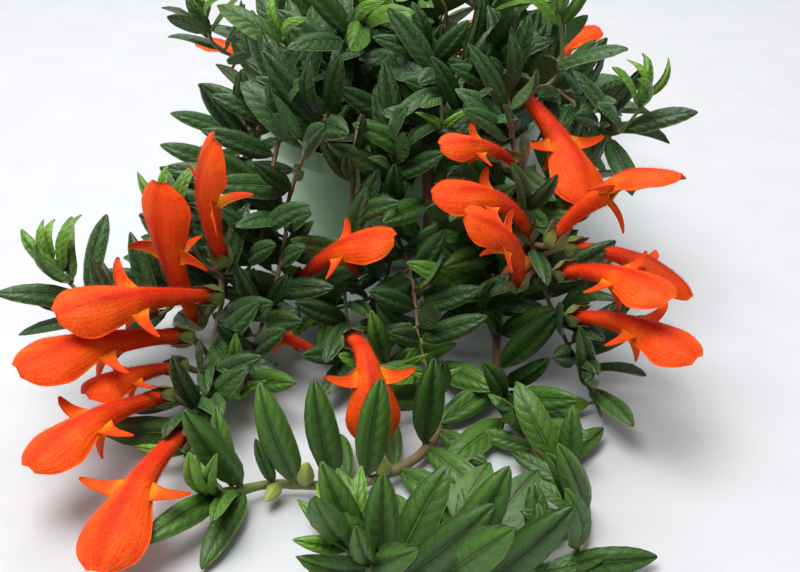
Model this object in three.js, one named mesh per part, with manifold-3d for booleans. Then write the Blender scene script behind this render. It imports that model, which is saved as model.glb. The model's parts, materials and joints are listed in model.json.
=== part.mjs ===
import * as THREE from "three";
import { mergeVertices } from "three/addons/utils/BufferGeometryUtils.js";
import Module from "manifold-3d";

// A goldfish plant in a shallow plastic pot. Millimetres, +Z up, origin under the middle of the pot.

// pot
const rimRadius = 70;
const potHeight = 70;
const bandHeight = 10;
const bandStep = 3.2;
const baseRadius = 46;
const kneeHeight = 24;
const kneeRadius = 58.5;
const wall = 1.8;
const potFloor = 2.4;
const potSides = 24;
const drainRadius = 4;
const drainCircle = 27;
const plateWidth = 9;

// soil and the holes that the stems stand in
const gap = 0.3;
const soilEdge = 57;
const soilMiddle = 60;
const stemFoot = 46;

// leaves and stems
const leafThickness = 1.1;
const leafSlimness = 0.29;
const stemSides = 5;
const plainStemSides = 4;
const stemStep = 21;
const youngStep = 5.5;
const firstSeed = 100;
const clearance = 0.35;
const lowestLeaf = 0.5;
const thinning = 0.55;
const rootDepth = 0.6;
const frontAbove = [0, -480, 270];
const sightRadius = 9;
const sightLength = 70;
const potShown = [[-59, -38, 62], [-38, -55, 55], [-28, -59, 47], [-33, -54, 36], [17, -63, 48]];

// flowers, for one that is 75 mm from calyx to tip
const bloomLength = 75;
const calyxLength = 13;
const finLength = 16;
const lipLength = 17;
const petalThickness = 1.4;

// corners nearer to each other than this are one
const grid = 0.01;

const wasm = await Module();
wasm.setup();

const up = new THREE.Vector3(0, 0, 1);
const point = ([x, y, z]) => new THREE.Vector3(x, y, z);

// adds any number of [direction, amount] steps to a place
function move(place, ...steps) {
  const moved = place.clone();
  for (const [direction, amount] of steps) {
    moved.addScaledVector(direction, amount);
  }
  return moved;
}

// the part of a direction that is square to an axis
function squareTo(direction, axis) {
  return direction.clone().addScaledVector(axis, -direction.dot(axis)).normalize();
}

// repeatable random numbers from 0 to 1
function seededRandom(seed) {
  let state = seed;
  return () => {
    state = (state + 0x6d2b79f5) | 0;
    let mixed = Math.imul(state ^ (state >>> 15), 1 | state);
    mixed = (mixed + Math.imul(mixed ^ (mixed >>> 7), 61 | mixed)) ^ mixed;
    return ((mixed ^ (mixed >>> 14)) >>> 0) / 4294967296;
  };
}

// A closed skin through rings of points. A ring of one point is a tip and a longer end ring is
// capped. The second half of each ring is split as the first half's mirror, so that both faces of
// a thin blade are split alike.
function skin(rings) {
  const places = rings.flat();
  const faces = [];
  let first = 0;
  for (let i = 0; i + 1 < rings.length; i += 1) {
    const near = rings[i].length;
    const far = rings[i + 1].length;
    const next = first + near;
    const sides = Math.max(near, far);
    for (let j = 0; j < sides; j += 1) {
      const k = (j + 1) % sides;
      if (near === 1) {
        faces.push([first, next + k, next + j]);
      } else if (far === 1) {
        faces.push([first + j, first + k, next]);
      } else if (j < sides / 2) {
        faces.push([first + j, first + k, next + k], [first + j, next + k, next + j]);
      } else {
        faces.push([first + j, first + k, next + j], [first + k, next + k, next + j]);
      }
    }
    first = next;
  }
  for (let j = 1; j + 1 < rings[0].length; j += 1) {
    faces.push([0, j + 1, j]);
  }
  for (let j = 1; j + 1 < rings.at(-1).length; j += 1) {
    faces.push([first, first + j, first + j + 1]);
  }
  const geometry = new THREE.BufferGeometry().setFromPoints(places);
  geometry.setIndex(faces.flat());
  return geometry;
}

// the solid inside a closed geometry, with shared corners merged and faces turned outwards
function toSolid(geometry) {
  const bare = geometry.clone();
  bare.deleteAttribute("normal");
  bare.deleteAttribute("uv");
  const merged = mergeVertices(bare, 1e-4);
  const vertProperties = new Float32Array(merged.attributes.position.array);
  const corner = (i) => new THREE.Vector3().fromArray(vertProperties, 3 * i);
  const faces = [];
  let volume = 0;
  for (let i = 0; i < merged.index.count; i += 3) {
    const [a, b, c] = merged.index.array.slice(i, i + 3);
    if (a !== b && b !== c && c !== a) {
      faces.push([a, b, c]);
      volume += corner(a).dot(corner(b).cross(corner(c)));
    }
  }
  const triVerts = new Uint32Array(faces.flatMap((face) => (volume < 0 ? face.reverse() : face)));
  return new wasm.Manifold(new wasm.Mesh({ numProp: 3, vertProperties, triVerts }));
}

// the faces of a solid with its corners on a fine grid, without those that the grid folds flat
function gridFaces(solid) {
  const { numProp, vertProperties, triVerts } = solid.getMesh();
  const places = [];
  const seen = new Map();
  const corners = [];
  for (let i = 0; i < vertProperties.length; i += numProp) {
    const place = Array.from(vertProperties.subarray(i, i + 3), (value) => Math.round(value / grid) * grid);
    const key = place.map((value) => Math.round(value / grid)).join();
    if (!seen.has(key)) {
      seen.set(key, places.length);
      places.push(place);
    }
    corners.push(seen.get(key));
  }
  const faces = new Map();
  for (let i = 0; i < triVerts.length; i += 3) {
    const face = [0, 1, 2].map((j) => corners[triVerts[i + j]]);
    const key = [...face].sort((a, b) => a - b).join();
    if (new Set(face).size < 3) {
      continue;
    }
    if (faces.has(key)) {
      faces.delete(key);
    } else {
      faces.set(key, face);
    }
  }
  return { places, faces: [...faces.values()] };
}

function toMesh(name, solid, material) {
  const { places, faces } = gridFaces(solid);
  const geometry = new THREE.BufferGeometry().setFromPoints(places.map(point));
  geometry.setIndex(faces.flat());
  geometry.computeVertexNormals();
  const mesh = new THREE.Mesh(geometry, material);
  mesh.name = name;
  return mesh;
}

const finish = (color, roughness) => new THREE.MeshStandardMaterial({ color, roughness, metalness: 0 });
const potPlastic = finish(0x9fbf9f, 0.45);
const darkSoil = finish(0x2b2019, 0.95);
const leafGreen = finish(0x2e5a2c, 0.45);
const petalOrange = finish(0xf4581b, 0.55);
const dryTwig = finish(0xb99a74, 0.85);

// turns a profile of radius and height round the pot's axis
function turned(profile) {
  const geometry = new THREE.LatheGeometry(profile, potSides);
  geometry.rotateX(Math.PI / 2);
  return toSolid(geometry);
}

// the bowl's outer radius at a height, straight from its foot to the knee and on to the rim band
function bowlRadius(height) {
  const bandFoot = potHeight - bandHeight;
  return height < kneeHeight
    ? THREE.MathUtils.mapLinear(height, potFloor, kneeHeight, baseRadius, kneeRadius)
    : THREE.MathUtils.mapLinear(height, kneeHeight, bandFoot, kneeRadius, rimRadius - bandStep);
}

const wallPoint = (height, inset) => new THREE.Vector2(bowlRadius(height) - inset, height);

function potSolid() {
  const bandFoot = potHeight - bandHeight;
  const outside = [new THREE.Vector2(0, 0), new THREE.Vector2(baseRadius - 2, 0)];
  outside.push(wallPoint(potFloor, 0), wallPoint(kneeHeight, 0), wallPoint(bandFoot, 0));
  outside.push(new THREE.Vector2(rimRadius, bandFoot), new THREE.Vector2(rimRadius, potHeight));
  const inside = [new THREE.Vector2(rimRadius - wall, potHeight)];
  inside.push(new THREE.Vector2(rimRadius - wall, bandFoot + wall), wallPoint(bandFoot, wall));
  inside.push(wallPoint(kneeHeight, wall), wallPoint(potFloor, wall), new THREE.Vector2(0, potFloor));
  let pot = turned([...outside, ...inside]);
  for (let i = 0; i < 4; i += 1) {
    const drain = new THREE.CylinderGeometry(drainRadius, drainRadius, 4 * potFloor, 6);
    drain.rotateX(Math.PI / 2);
    drain.translate(drainCircle, 0, 0);
    drain.rotateZ((i * Math.PI) / 2 + Math.PI / 4);
    pot = pot.subtract(toSolid(drain));
  }
  // three raised plates on the band
  for (let i = 0; i < 3; i += 1) {
    const plate = new THREE.BoxGeometry(2.4, plateWidth, bandHeight - 2);
    plate.translate(rimRadius - 0.6, 0, potHeight - bandHeight / 2);
    plate.rotateZ(((-118 + 120 * i) * Math.PI) / 180);
    pot = pot.add(toSolid(plate));
  }
  return pot;
}

function soilSolid(feet) {
  const inset = wall + gap;
  const low = potFloor + gap;
  const profile = [new THREE.Vector2(0, low), wallPoint(low, inset), wallPoint(kneeHeight, inset)];
  profile.push(wallPoint(soilEdge, inset), new THREE.Vector2(0, soilMiddle));
  let soil = turned(profile);
  for (const { place, radius } of feet) {
    const hole = new THREE.CylinderGeometry(radius, radius, 30, 5);
    hole.rotateX(Math.PI / 2);
    hole.translate(place.x, place.y, stemFoot - gap + 15);
    soil = soil.subtract(toSolid(hole));
  }
  return soil;
}

const ringCount = (route, step) => Math.max(2, Math.round(route.getLength() / step));

// A round stem along a route, thinner towards its tip.
function stemSolid(route, thick, thin, sides = stemSides, step = stemStep) {
  const count = ringCount(route, step);
  const frames = route.computeFrenetFrames(count, false);
  const rings = [];
  for (let i = 0; i <= count; i += 1) {
    const radius = THREE.MathUtils.lerp(thick, thin, i / count);
    const middle = route.getPointAt(i / count);
    const ring = [];
    for (let j = 0; j < sides; j += 1) {
      const angle = (2 * Math.PI * j) / sides;
      const across = [frames.normals[i], radius * Math.cos(angle)];
      ring.push(move(middle, across, [frames.binormals[i], radius * Math.sin(angle)]));
    }
    rings.push(ring);
  }
  return toSolid(skin(rings));
}

// A leaf is a thin arched blade with a keel under its midrib: two stations of three corners between
// its root and its tip, or one station on a plain leaf. swell makes it larger all over and start
// cuts away the part by the stem.
function leafSolid(leaf, swell = 0, start = 0) {
  const { root, tip, face, width, arch, plain } = leaf;
  const length = root.distanceTo(tip);
  const along = tip.clone().sub(root).normalize();
  const across = along.clone().cross(face).normalize();
  const stations = plain ? [[0.42, 1]] : [[0.28, 0.9], [0.66, 0.94]];
  const section = ([share, spread]) => {
    const half = (width / 2) * spread + 1.5 * swell;
    const middle = move(root, [along, share * length], [face, 4 * arch * share * (1 - share) * length]);
    const corners = [[-half, swell], [half, swell], [0, -leafThickness - swell]];
    return corners.map(([x, y]) => move(middle, [across, x], [face, y]));
  };
  const foot = start ? section([start, 0.5]) : [root];
  return toSolid(skin([foot, ...stations.map(section), [move(tip, [along, 2 * swell])]]));
}

// A spindle, for a closed bud
function budSolid(root, tip, width) {
  const along = tip.clone().sub(root).normalize();
  const across = squareTo(Math.abs(along.z) > 0.9 ? new THREE.Vector3(1, 0, 0) : up, along);
  const beside = along.clone().cross(across);
  const ring = (share, spread) =>
    [0, 1, 2, 3, 4].map((j) => {
      const angle = (2 * Math.PI * j) / 5;
      const middle = root.clone().lerp(tip, share);
      const reach = (width / 2) * spread;
      return move(middle, [across, reach * Math.cos(angle)], [beside, reach * Math.sin(angle)]);
    });
  return toSolid(skin([[root], ring(0.3, 1), ring(0.62, 0.85), [tip]]));
}

// The middle line of a flower from its calyx to the tip of its hood, and the frame at any share of
// it: forward along the line, back to the hood's outer side and side to the flower's right.
function bloomLine({ base, tip, back, arch }) {
  const length = base.distanceTo(tip);
  const axis = tip.clone().sub(base).normalize();
  const outer = squareTo(back, axis);
  const bend = move(base.clone().lerp(tip, 0.45), [outer, 1.6 * arch * length]);
  const curve = new THREE.QuadraticBezierCurve3(base, bend, tip);
  const side = axis.clone().cross(outer);
  const size = curve.getLength() / bloomLength;
  const frame = (share) => {
    const forward = curve.getTangentAt(share);
    const rise = side.clone().cross(forward).normalize();
    return { middle: curve.getPointAt(share), forward, rise, side };
  };
  return { curve, size, frame };
}

// A cup of five sepals round the flower's base, thin at the rim
function calyxSolid(line) {
  const { middle, forward, rise, side } = line.frame(0);
  const rim = Array.from({ length: 10 }, (_, j) => {
    const angle = (Math.PI * j) / 5;
    const reach = j % 2 === 0 ? calyxLength : 0.5 * calyxLength;
    const radius = j % 2 === 0 ? 6 : 4.6;
    const place = move(middle, [forward, reach * line.size]);
    return move(place, [side, radius * Math.cos(angle)], [rise, radius * Math.sin(angle)]);
  });
  return toSolid(skin([[middle], rim, [move(middle, [forward, 1.6])]]));
}

// A narrow petal with a keel, through its middle places, with a blunt end
function petalSolid(places, across, widths) {
  const rings = places.map((place, i) => {
    const before = places[Math.max(0, i - 1)];
    const after = places[Math.min(places.length - 1, i + 1)];
    const way = after.clone().sub(before).normalize();
    const edge = squareTo(across, way);
    const face = edge.clone().cross(way);
    const half = widths[i] / 2;
    const corners = [[-half, 0.4], [half, 0.4], [0, 0.4 - petalThickness]];
    return corners.map(([x, y]) => move(place, [edge, x], [face, y]));
  });
  return toSolid(skin(rings));
}

// The corolla: a narrow tube that opens into a broad hood, with a fin on each side and a narrow lip
// below. Each station gives its share of the length, its half width, and how high its ridge, its
// edges and the middle of its underside stand.
const corollaStations = [
  [0.085, 2.1, 2.1, 0, -2.1],
  [0.5, 4.5, 4.2, 0, -4.2],
  [0.63, 7.8, 4.8, -0.6, 0.2],
  [0.82, 12.4, 3.6, -2.4, 1.8],
  [0.94, 7.8, 1.6, -1.8, 0.2],
];

function corollaSolid(line) {
  const { size } = line;
  const ring = ([share, half, ridge, edge, under]) => {
    const { middle, rise, side } = line.frame(share);
    const shoulder = edge + 0.78 * (ridge - edge);
    const outline = [
      [0, ridge],
      [0.6 * half, shoulder],
      [half, edge],
      [0, under],
      [-half, edge],
      [-0.6 * half, shoulder],
    ];
    return outline.map(([x, y]) => move(middle, [side, x * size], [rise, y * size]));
  };
  const foot = line.frame(0.04 / size).middle;
  const end = line.frame(1).middle;
  let corolla = toSolid(skin([[foot], ...corollaStations.map(ring), [end]]));
  const { middle, forward, rise, side } = line.frame(0.56);
  for (const hand of [-1, 1]) {
    const root = move(middle, [side, 2 * hand * size]);
    const reach = (5 + finLength) * hand * size;
    const finEnd = move(middle, [side, reach], [forward, 1], [rise, 3]);
    corolla = corolla.add(petalSolid([root, finEnd], forward, [8, 2.8]));
  }
  const lipRoot = move(middle, [rise, -2 * size], [forward, -3]);
  const lipBend = move(lipRoot, [rise, -0.55 * lipLength * size], [forward, 3]);
  const lipEnd = move(lipRoot, [rise, -lipLength * size], [forward, -2]);
  return corolla.add(petalSolid([lipRoot, lipBend, lipEnd], side, [6, 4.6, 2.4]));
}

// Leafy stems. foot is where the stem leaves the soil and route goes on from there. A branch grows
// from another stem instead, some distance along it. Leaves stand in
// opposite pairs: the first pair is bare millimetres along the stem, then one each pairStep, each
// pair a quarter turn from the last. lean is their angle from the rising line, in degrees. tips is
// the number of young pairs crowded at the end. until ends the pairs early, where leaves and buds
// stand one by one: each has its distance along the stem, its reach from there and a bud its width.
// plain leaves have one station, on the stems in the shade of others.
const shoots = [
  {
    name: "shoot_front_table",
    foot: [10, -36],
    route: [
      [12, -50, 85], [12, -70, 88], [12, -86, 62], [12, -98, 30], [13, -116, 10], [15, -140, 5],
      [15, -158, 5], [13, -176, 5], [4, -190, 6], [-11, -200, 6], [-28, -202, 5.5], [-47, -202, 6],
      [-60, -208, 8], [-70, -214, 12],
    ],
    thick: 2.3, bare: 60, until: 205, pairStep: 19, leaf: 38, lean: 48, turn: 30, tips: 3,
    leaves: [
      [210, 29, 23, 7], [213, 18, -19, 0], [225, 3, 0, 40], [225, 24, -29, 0], [242, 32, -27, -1],
      [242, -2, 26, 4], [255, 5, 6, 41], [262, -4, 26, 2], [267, -6, 5, 41], [266, -8, -36, -1],
      [282, -20, -36, -1], [281, -11, 3, 41], [289, -6, 4, 18], [301, -16, -5, 39], [300, -11, -33, -3],
      [309, -30, -16, -4], [309, -22, -28, 7], [308, -16, 10, -3], [314, -4, -13, 24],
    ],
    buds: [[248, -1, -2, 11, 6], [268, 2, -11, 2, 5], [278, 2, -2, 13, 6.5], [287, -4, -10, 1, 5.5]],
  },
  {
    name: "shoot_front_trail",
    foot: [34, -20],
    route: [
      [37, -44, 84], [39, -64, 86], [42, -80, 76], [43, -94, 50], [43, -108, 20], [41, -128, 8],
      [41, -150, 6], [47, -172, 6], [55, -189, 6], [62, -199, 5], [66, -213, 5], [61, -233, 5],
      [48, -243, 5], [28, -247, 5], [0, -245, 6], [-12, -241, 8], [-20, -236, 13],
    ],
    thick: 2.2, bare: 90, until: 222, pairStep: 19, leaf: 40, lean: 50, turn: 60, tips: 3,
    leaves: [
      [228, -22, 18, 2], [235, -22, 8, 2], [245, -7, 33, 4], [245, 22, 20, 1], [257, -20, 16, 3],
      [267, -12, -9, 30], [273, -11, -5, 36], [285, 19, 29, 1], [300, 34, 3, 1], [306, 22, 4, 4],
      [314, -6, 30, 3], [326, 23, -9, 39], [340, 19, 5, 44], [343, -14, 36, 4], [352, 25, -5, 36],
      [358, 8, 33, 1], [362, 1, 0, 40], [369, -12, 2, 36], [369, -21, 27, 0], [373, -17, -5, 28],
      [374, -15, -9, 12],
    ],
    buds: [[320, -9, 5, 4, 5]],
  },
  {
    name: "shoot_right_droop",
    foot: [36, -6],
    route: [
      [42, -30, 90], [45, -62, 101], [46, -90, 92], [50, -110, 76], [54, -119, 56], [60, -125, 38],
      [70, -135, 18], [78, -150, 7], [80, -163, 5],
    ],
    thick: 1.8, bare: 40, pairStep: 16, leaf: 34, lean: 42, turn: 10, tips: 0,
    buds: [[172, -14, -3, -6, 8]],
  },
  {
    name: "shoot_centre_droop",
    foot: [0, -44],
    route: [
      [0, -54, 84], [-1, -68, 89], [-3, -82, 76], [-3, -86, 54], [-4, -90, 34], [-10, -96, 20],
      [-24, -101, 16], [-38, -105, 15],
    ],
    thick: 1.6, bare: 36, pairStep: 15, leaf: 34, lean: 40, turn: 0, tips: 1,
  },
  {
    name: "shoot_left_droop",
    foot: [-20, -36],
    route: [
      [-26, -50, 84], [-33, -68, 89], [-41, -80, 79], [-49, -86, 56], [-49, -91, 36],
      [-45, -100, 18], [-44, -112, 9],
    ],
    thick: 1.7, bare: 34, pairStep: 16, leaf: 40, lean: 42, turn: 20, tips: 1,
  },
  {
    name: "shoot_left_flowering",
    foot: [-32, -22],
    route: [
      [-40, -40, 84], [-48, -58, 91], [-55, -78, 72], [-60, -98, 48], [-68, -112, 37],
      [-80, -115, 45], [-87, -113, 58], [-94, -111, 72],
    ],
    thick: 1.7, bare: 60, pairStep: 16, leaf: 34, lean: 46, turn: 50, tips: 3,
  },
  {
    name: "shoot_left_low",
    foot: [-38, -8],
    route: [
      [-48, -26, 85], [-59, -44, 90], [-66, -62, 72], [-72, -84, 46], [-76, -110, 26],
      [-79, -134, 15], [-79, -152, 8], [-78, -172, 6], [-81, -187, 6],
    ],
    thick: 1.8, bare: 64, pairStep: 16, leaf: 38, lean: 40, turn: 0, tips: 1,
  },
  {
    name: "shoot_far_left",
    foot: [-42, 5],
    route: [
      [-54, -12, 84], [-66, -30, 86], [-74, -48, 66], [-80, -74, 44], [-89, -104, 32],
      [-99, -128, 30], [-113, -141, 38], [-126, -138, 47], [-138, -131, 58],
    ],
    thick: 1.7, bare: 92, pairStep: 17, leaf: 34, lean: 46, turn: 30, tips: 3,
  },
  {
    name: "shoot_shade",
    foot: [22, -30],
    route: [
      [25, -48, 92], [27, -74, 95], [28, -92, 80], [28, -101, 56], [29, -108, 38], [31, -118, 24],
    ],
    thick: 1.6, bare: 44, pairStep: 16, leaf: 34, lean: 44, turn: 40, tips: 1, plain: true,
  },
  {
    name: "shoot_low_centre",
    foot: [-10, -30],
    route: [
      [-15, -50, 84], [-18, -72, 89], [-20, -88, 68], [-23, -101, 44], [-23, -116, 24],
      [-19, -131, 13], [-9, -140, 11], [2, -141, 12],
    ],
    thick: 1.6, bare: 96, pairStep: 15, leaf: 32, lean: 44, turn: 15, tips: 1, plain: true,
  },
  {
    name: "branch_low_left",
    from: ["shoot_left_droop", 118],
    route: [[-52, -104, 36], [-57, -120, 24], [-62, -138, 14], [-63, -156, 8]],
    thick: 1.4, bare: 14, pairStep: 14, leaf: 34, lean: 42, turn: 40, tips: 1,
  },
  {
    name: "branch_low_middle",
    from: ["shoot_centre_droop", 106],
    route: [[4, -104, 40], [6, -120, 34], [8, -136, 22], [13, -152, 12]],
    thick: 1.3, bare: 14, pairStep: 14, leaf: 32, lean: 44, turn: 70, tips: 1,
  },
  {
    name: "shoot_up_centre",
    foot: [-12, -12],
    route: [[-22, -24, 86], [-28, -31, 100], [-25, -35, 110], [-18, -38, 120], [-13, -41, 127]],
    thick: 1.7, bare: 26, pairStep: 14, leaf: 36, lean: 56, turn: 20, tips: 2,
  },
  {
    name: "shoot_top_left",
    foot: [-26, -6],
    route: [[-36, -14, 84], [-46, -24, 98], [-50, -32, 108], [-51, -38, 116]],
    thick: 1.7, bare: 26, pairStep: 14, leaf: 40, lean: 58, turn: 60, tips: 1,
  },
  {
    name: "shoot_upper_left",
    foot: [-36, 18],
    route: [[-52, 18, 82], [-64, 17, 85], [-74, 15, 86], [-83, 10, 90], [-90, 5, 97], [-92, 2, 107], [-93, 0, 118]],
    thick: 1.6, bare: 40, pairStep: 14, leaf: 28, lean: 54, turn: 45, tips: 2,
  },
  {
    name: "shoot_top_middle",
    foot: [2, 6],
    route: [[2, 8, 90], [4, 4, 110], [8, 0, 124]],
    thick: 1.7, bare: 24, pairStep: 14, leaf: 36, lean: 58, turn: 10, tips: 2,
    buds: [[62, 8, -6, 6, 6]],
  },
  {
    name: "shoot_woody_right",
    foot: [25, -3],
    route: [
      [28, -14, 86], [32, -27, 102], [40, -38, 107], [53, -41, 100], [65, -41, 94], [72, -37, 104],
      [71, -34, 118], [70, -33, 126],
    ],
    thick: 2.3, bare: 36, pairStep: 16, leaf: 36, lean: 52, turn: 35, tips: 2,
  },
  {
    name: "shoot_far_right",
    foot: [34, 10],
    route: [
      [48, -6, 84], [63, -22, 90], [78, -44, 88], [86, -62, 84], [92, -75, 87], [99, -78, 98],
      [103, -78, 106],
    ],
    thick: 1.6, bare: 40, pairStep: 16, leaf: 32, lean: 52, turn: 25, tips: 2,
  },
  {
    name: "shoot_right_side",
    foot: [46, 4],
    route: [[59, 1, 84], [72, -8, 82], [79, -20, 62], [82, -34, 42], [84, -46, 26]],
    thick: 1.6, bare: 44, pairStep: 17, leaf: 34, lean: 40, turn: 10, tips: 1, plain: true,
  },
  {
    name: "shoot_top_right",
    foot: [18, 14],
    route: [[28, 18, 88], [40, 20, 104], [48, 18, 116]],
    thick: 1.6, bare: 26, pairStep: 19, leaf: 34, lean: 54, turn: 70, tips: 2, plain: true,
  },
  {
    name: "shoot_front_crown",
    foot: [4, -18],
    route: [[9, -32, 94], [14, -48, 110], [16, -64, 112], [17, -79, 104], [17, -90, 94]],
    thick: 1.6, bare: 33, pairStep: 15, leaf: 34, lean: 50, turn: 20, tips: 1,
  },
  {
    name: "shoot_back",
    foot: [4, 36],
    route: [[6, 54, 84], [8, 73, 88], [10, 89, 64], [10, 99, 36], [6, 113, 12], [0, 132, 6], [-10, 148, 6]],
    thick: 1.8, bare: 34, pairStep: 21, leaf: 40, lean: 42, turn: 0, tips: 2, plain: true,
  },
  {
    name: "shoot_back_left",
    foot: [-24, 32],
    route: [[-35, 45, 84], [-48, 60, 87], [-58, 76, 62], [-62, 88, 34], [-66, 104, 12], [-74, 120, 6]],
    thick: 1.7, bare: 36, pairStep: 21, leaf: 38, lean: 42, turn: 20, tips: 1, plain: true,
  },
  {
    name: "shoot_back_right",
    foot: [30, 30],
    route: [[41, 42, 84], [54, 56, 88], [64, 70, 62], [68, 84, 34], [73, 100, 12], [84, 112, 6]],
    thick: 1.7, bare: 36, pairStep: 21, leaf: 38, lean: 42, turn: 40, tips: 1, plain: true,
  },
  {
    name: "shoot_left_back",
    foot: [-44, 30],
    route: [[-58, 38, 82], [-70, 48, 80], [-76, 58, 54], [-78, 68, 28], [-82, 82, 9], [-92, 96, 6]],
    thick: 1.6, bare: 44, pairStep: 20, leaf: 34, lean: 40, turn: 60, tips: 1, plain: true,
  },
  {
    name: "shoot_right_back",
    foot: [46, 20],
    route: [[59, 27, 84], [72, 36, 82], [80, 46, 58], [84, 56, 30], [91, 70, 10], [103, 80, 6]],
    thick: 1.6, bare: 44, pairStep: 20, leaf: 34, lean: 40, turn: 15, tips: 1, plain: true,
  },
  {
    name: "shoot_top_back_left",
    foot: [-14, 22],
    route: [[-20, 32, 90], [-24, 42, 106], [-25, 50, 118]],
    thick: 1.6, bare: 26, pairStep: 19, leaf: 36, lean: 56, turn: 30, tips: 2, plain: true,
  },
  {
    name: "shoot_top_back_right",
    foot: [14, 28],
    route: [[21, 38, 92], [26, 46, 108], [27, 52, 118]],
    thick: 1.6, bare: 26, pairStep: 19, leaf: 36, lean: 56, turn: 75, tips: 2, plain: true,
  },
];

// Flowers: the calyx sits on a pedicel from the nearest place on stem, base and tip are the ends of
// the corolla's middle line, back is the side that the hood shows, arch is how far the line bends and
// shown has the shares of its length that no leaf hides from the front.
const blooms = [
  {
    name: "bloom_left_upright", stem: "shoot_left_flowering", arch: 0.08,
    base: [-71, -121, 51], tip: [-66, -140, 115], back: [-1, -0.5, 0.2], shown: [0.85],
  },
  {
    name: "bloom_left_behind_tip", stem: "shoot_left_flowering", arch: 0.08,
    base: [-84, -122, 20], tip: [-92, -127, 91], back: [-0.6, -1, 0.2], shown: [0.85],
  },
  {
    name: "bloom_left_wide", stem: "shoot_left_flowering", arch: 0.06,
    base: [-73, -128, 39], tip: [-124, -173, 61], back: [0, -0.5, 1], shown: [0.3, 0.6, 0.85],
  },
  {
    name: "bloom_left_second", stem: "shoot_left_low", arch: 0.08,
    base: [-84, -140, 27], tip: [-136, -188, 48], back: [-0.2, -0.4, 1], shown: [0.3, 0.6, 0.85],
  },
  {
    name: "bloom_left_third", stem: "shoot_left_low", arch: 0.06,
    base: [-87, -147, 18], tip: [-115, -184, 33], back: [-0.2, -0.4, 1], shown: [0.85],
  },
  {
    name: "bloom_left_fourth", stem: "shoot_left_low", arch: 0.1,
    base: [-89, -165, 17], tip: [-126, -219, 30], back: [-0.2, -0.3, 1], shown: [0.3, 0.6, 0.85],
  },
  {
    name: "bloom_left_front", stem: "shoot_left_low", arch: 0.12,
    base: [-80, -182, 14], tip: [-97, -252, 16], back: [-0.1, -0.2, 1], shown: [0.3, 0.6, 0.85],
  },
  {
    name: "bloom_centre_side", stem: "shoot_left_droop", arch: 0.14,
    base: [-44, -108, 30], tip: [-2, -127, 66], back: [-0.5, -0.2, 1], shown: [0.3, 0.6, 0.85],
  },
  {
    name: "bloom_low_behind", stem: "shoot_low_centre", arch: 0.2,
    base: [-31, -138, 16], tip: [-56, -122, 14], back: [0, -0.5, 1], shown: [],
  },
  {
    name: "bloom_centre_facing", stem: "shoot_low_centre", arch: 0.45,
    base: [-20, -146, 30], tip: [-9, -190, 14], back: [0.2, -0.5, 1], shown: [0.3, 0.6, 0.85],
  },
  {
    name: "bloom_right_inner", stem: "shoot_right_droop", arch: 0.24,
    base: [52, -117, 60], tip: [12, -132, 88], back: [0.3, -0.3, 1], shown: [0.3, 0.6, 0.85],
  },
  {
    name: "bloom_right_turned", stem: "shoot_right_droop", arch: 0.22,
    base: [45, -139, 51], tip: [23, -153, 91], back: [0.9, -0.3, 0.5], shown: [0.3, 0.6, 0.85],
  },
  {
    name: "bloom_right_large", stem: "shoot_woody_right", arch: 0.08,
    base: [51, -50, 97], tip: [77, -113, 73], back: [0.3, -0.4, 1], shown: [0.3, 0.6, 0.85],
  },
  {
    name: "bloom_right_open", stem: "shoot_right_droop", arch: 0.16,
    base: [59, -130, 64], tip: [100, -151, 105], back: [-0.4, 0.6, 0.8], shown: [0.3, 0.6, 0.85],
  },
  {
    name: "bloom_right_low", stem: "shoot_right_droop", arch: 0.1,
    base: [63, -134, 54], tip: [94, -180, 72], back: [0.1, -0.4, 1], shown: [0.3, 0.6, 0.85],
  },
  {
    name: "bloom_right_lowest", stem: "shoot_right_droop", arch: 0.1,
    base: [67, -144, 40], tip: [104, -190, 54], back: [0.1, -0.3, 1], shown: [0.3, 0.6, 0.85],
  },
  {
    name: "bloom_right_behind", stem: "shoot_right_droop", arch: 0.12,
    base: [68, -114, 54], tip: [113, -145, 50], back: [0.3, 0.1, 1], shown: [0.85],
  },
  {
    name: "bloom_right_shaded", stem: "shoot_right_droop", arch: 0.15,
    base: [46, -103, 86], tip: [15, -121, 103], back: [0, -0.5, 1], shown: [],
  },
  {
    name: "bloom_back", stem: "shoot_back", arch: 0.1,
    base: [20, 104, 40], tip: [48, 150, 60], back: [0, 0.4, 1], shown: [],
  },
  {
    name: "bloom_back_left", stem: "shoot_back_left", arch: 0.1,
    base: [-70, 82, 44], tip: [-118, 104, 64], back: [-0.2, 0.3, 1], shown: [],
  },
  {
    name: "bloom_back_right", stem: "shoot_back_right", arch: 0.1,
    base: [78, 78, 46], tip: [116, 116, 68], back: [0.2, 0.3, 1], shown: [],
  },
];
const bloomScene = blooms.map((bloom) => {
  const [base, tip, back] = [bloom.base, bloom.tip, bloom.back].map(point);
  return { ...bloom, line: bloomLine({ base, tip, back, arch: bloom.arch }) };
});

// the lines from the shown parts of the flowers and the pot to a place in front and above
const shownPlaces = bloomScene.flatMap(({ shown, line }) => shown.map((share) => line.frame(share).middle));
shownPlaces.push(...potShown.map(point));
const inSight = shownPlaces.map((from) => ({ from, way: point(frontAbove).sub(from).normalize() }));

// the dry twig that stands in the middle of the plant
const twigFoot = [14, -12];
const twigRoute = [[16, -14, 90], [21, -22, 112], [20, -38, 128], [17, -52, 138]];

// everything placed so far, as { owner, solid, box }
const taken = [];

function take(owner, solid) {
  taken.push({ owner, solid, box: solid.boundingBox() });
}

function boxesMeet(one, other) {
  return [0, 1, 2].every((i) => one.min[i] <= other.max[i] && other.min[i] <= one.max[i]);
}

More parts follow.
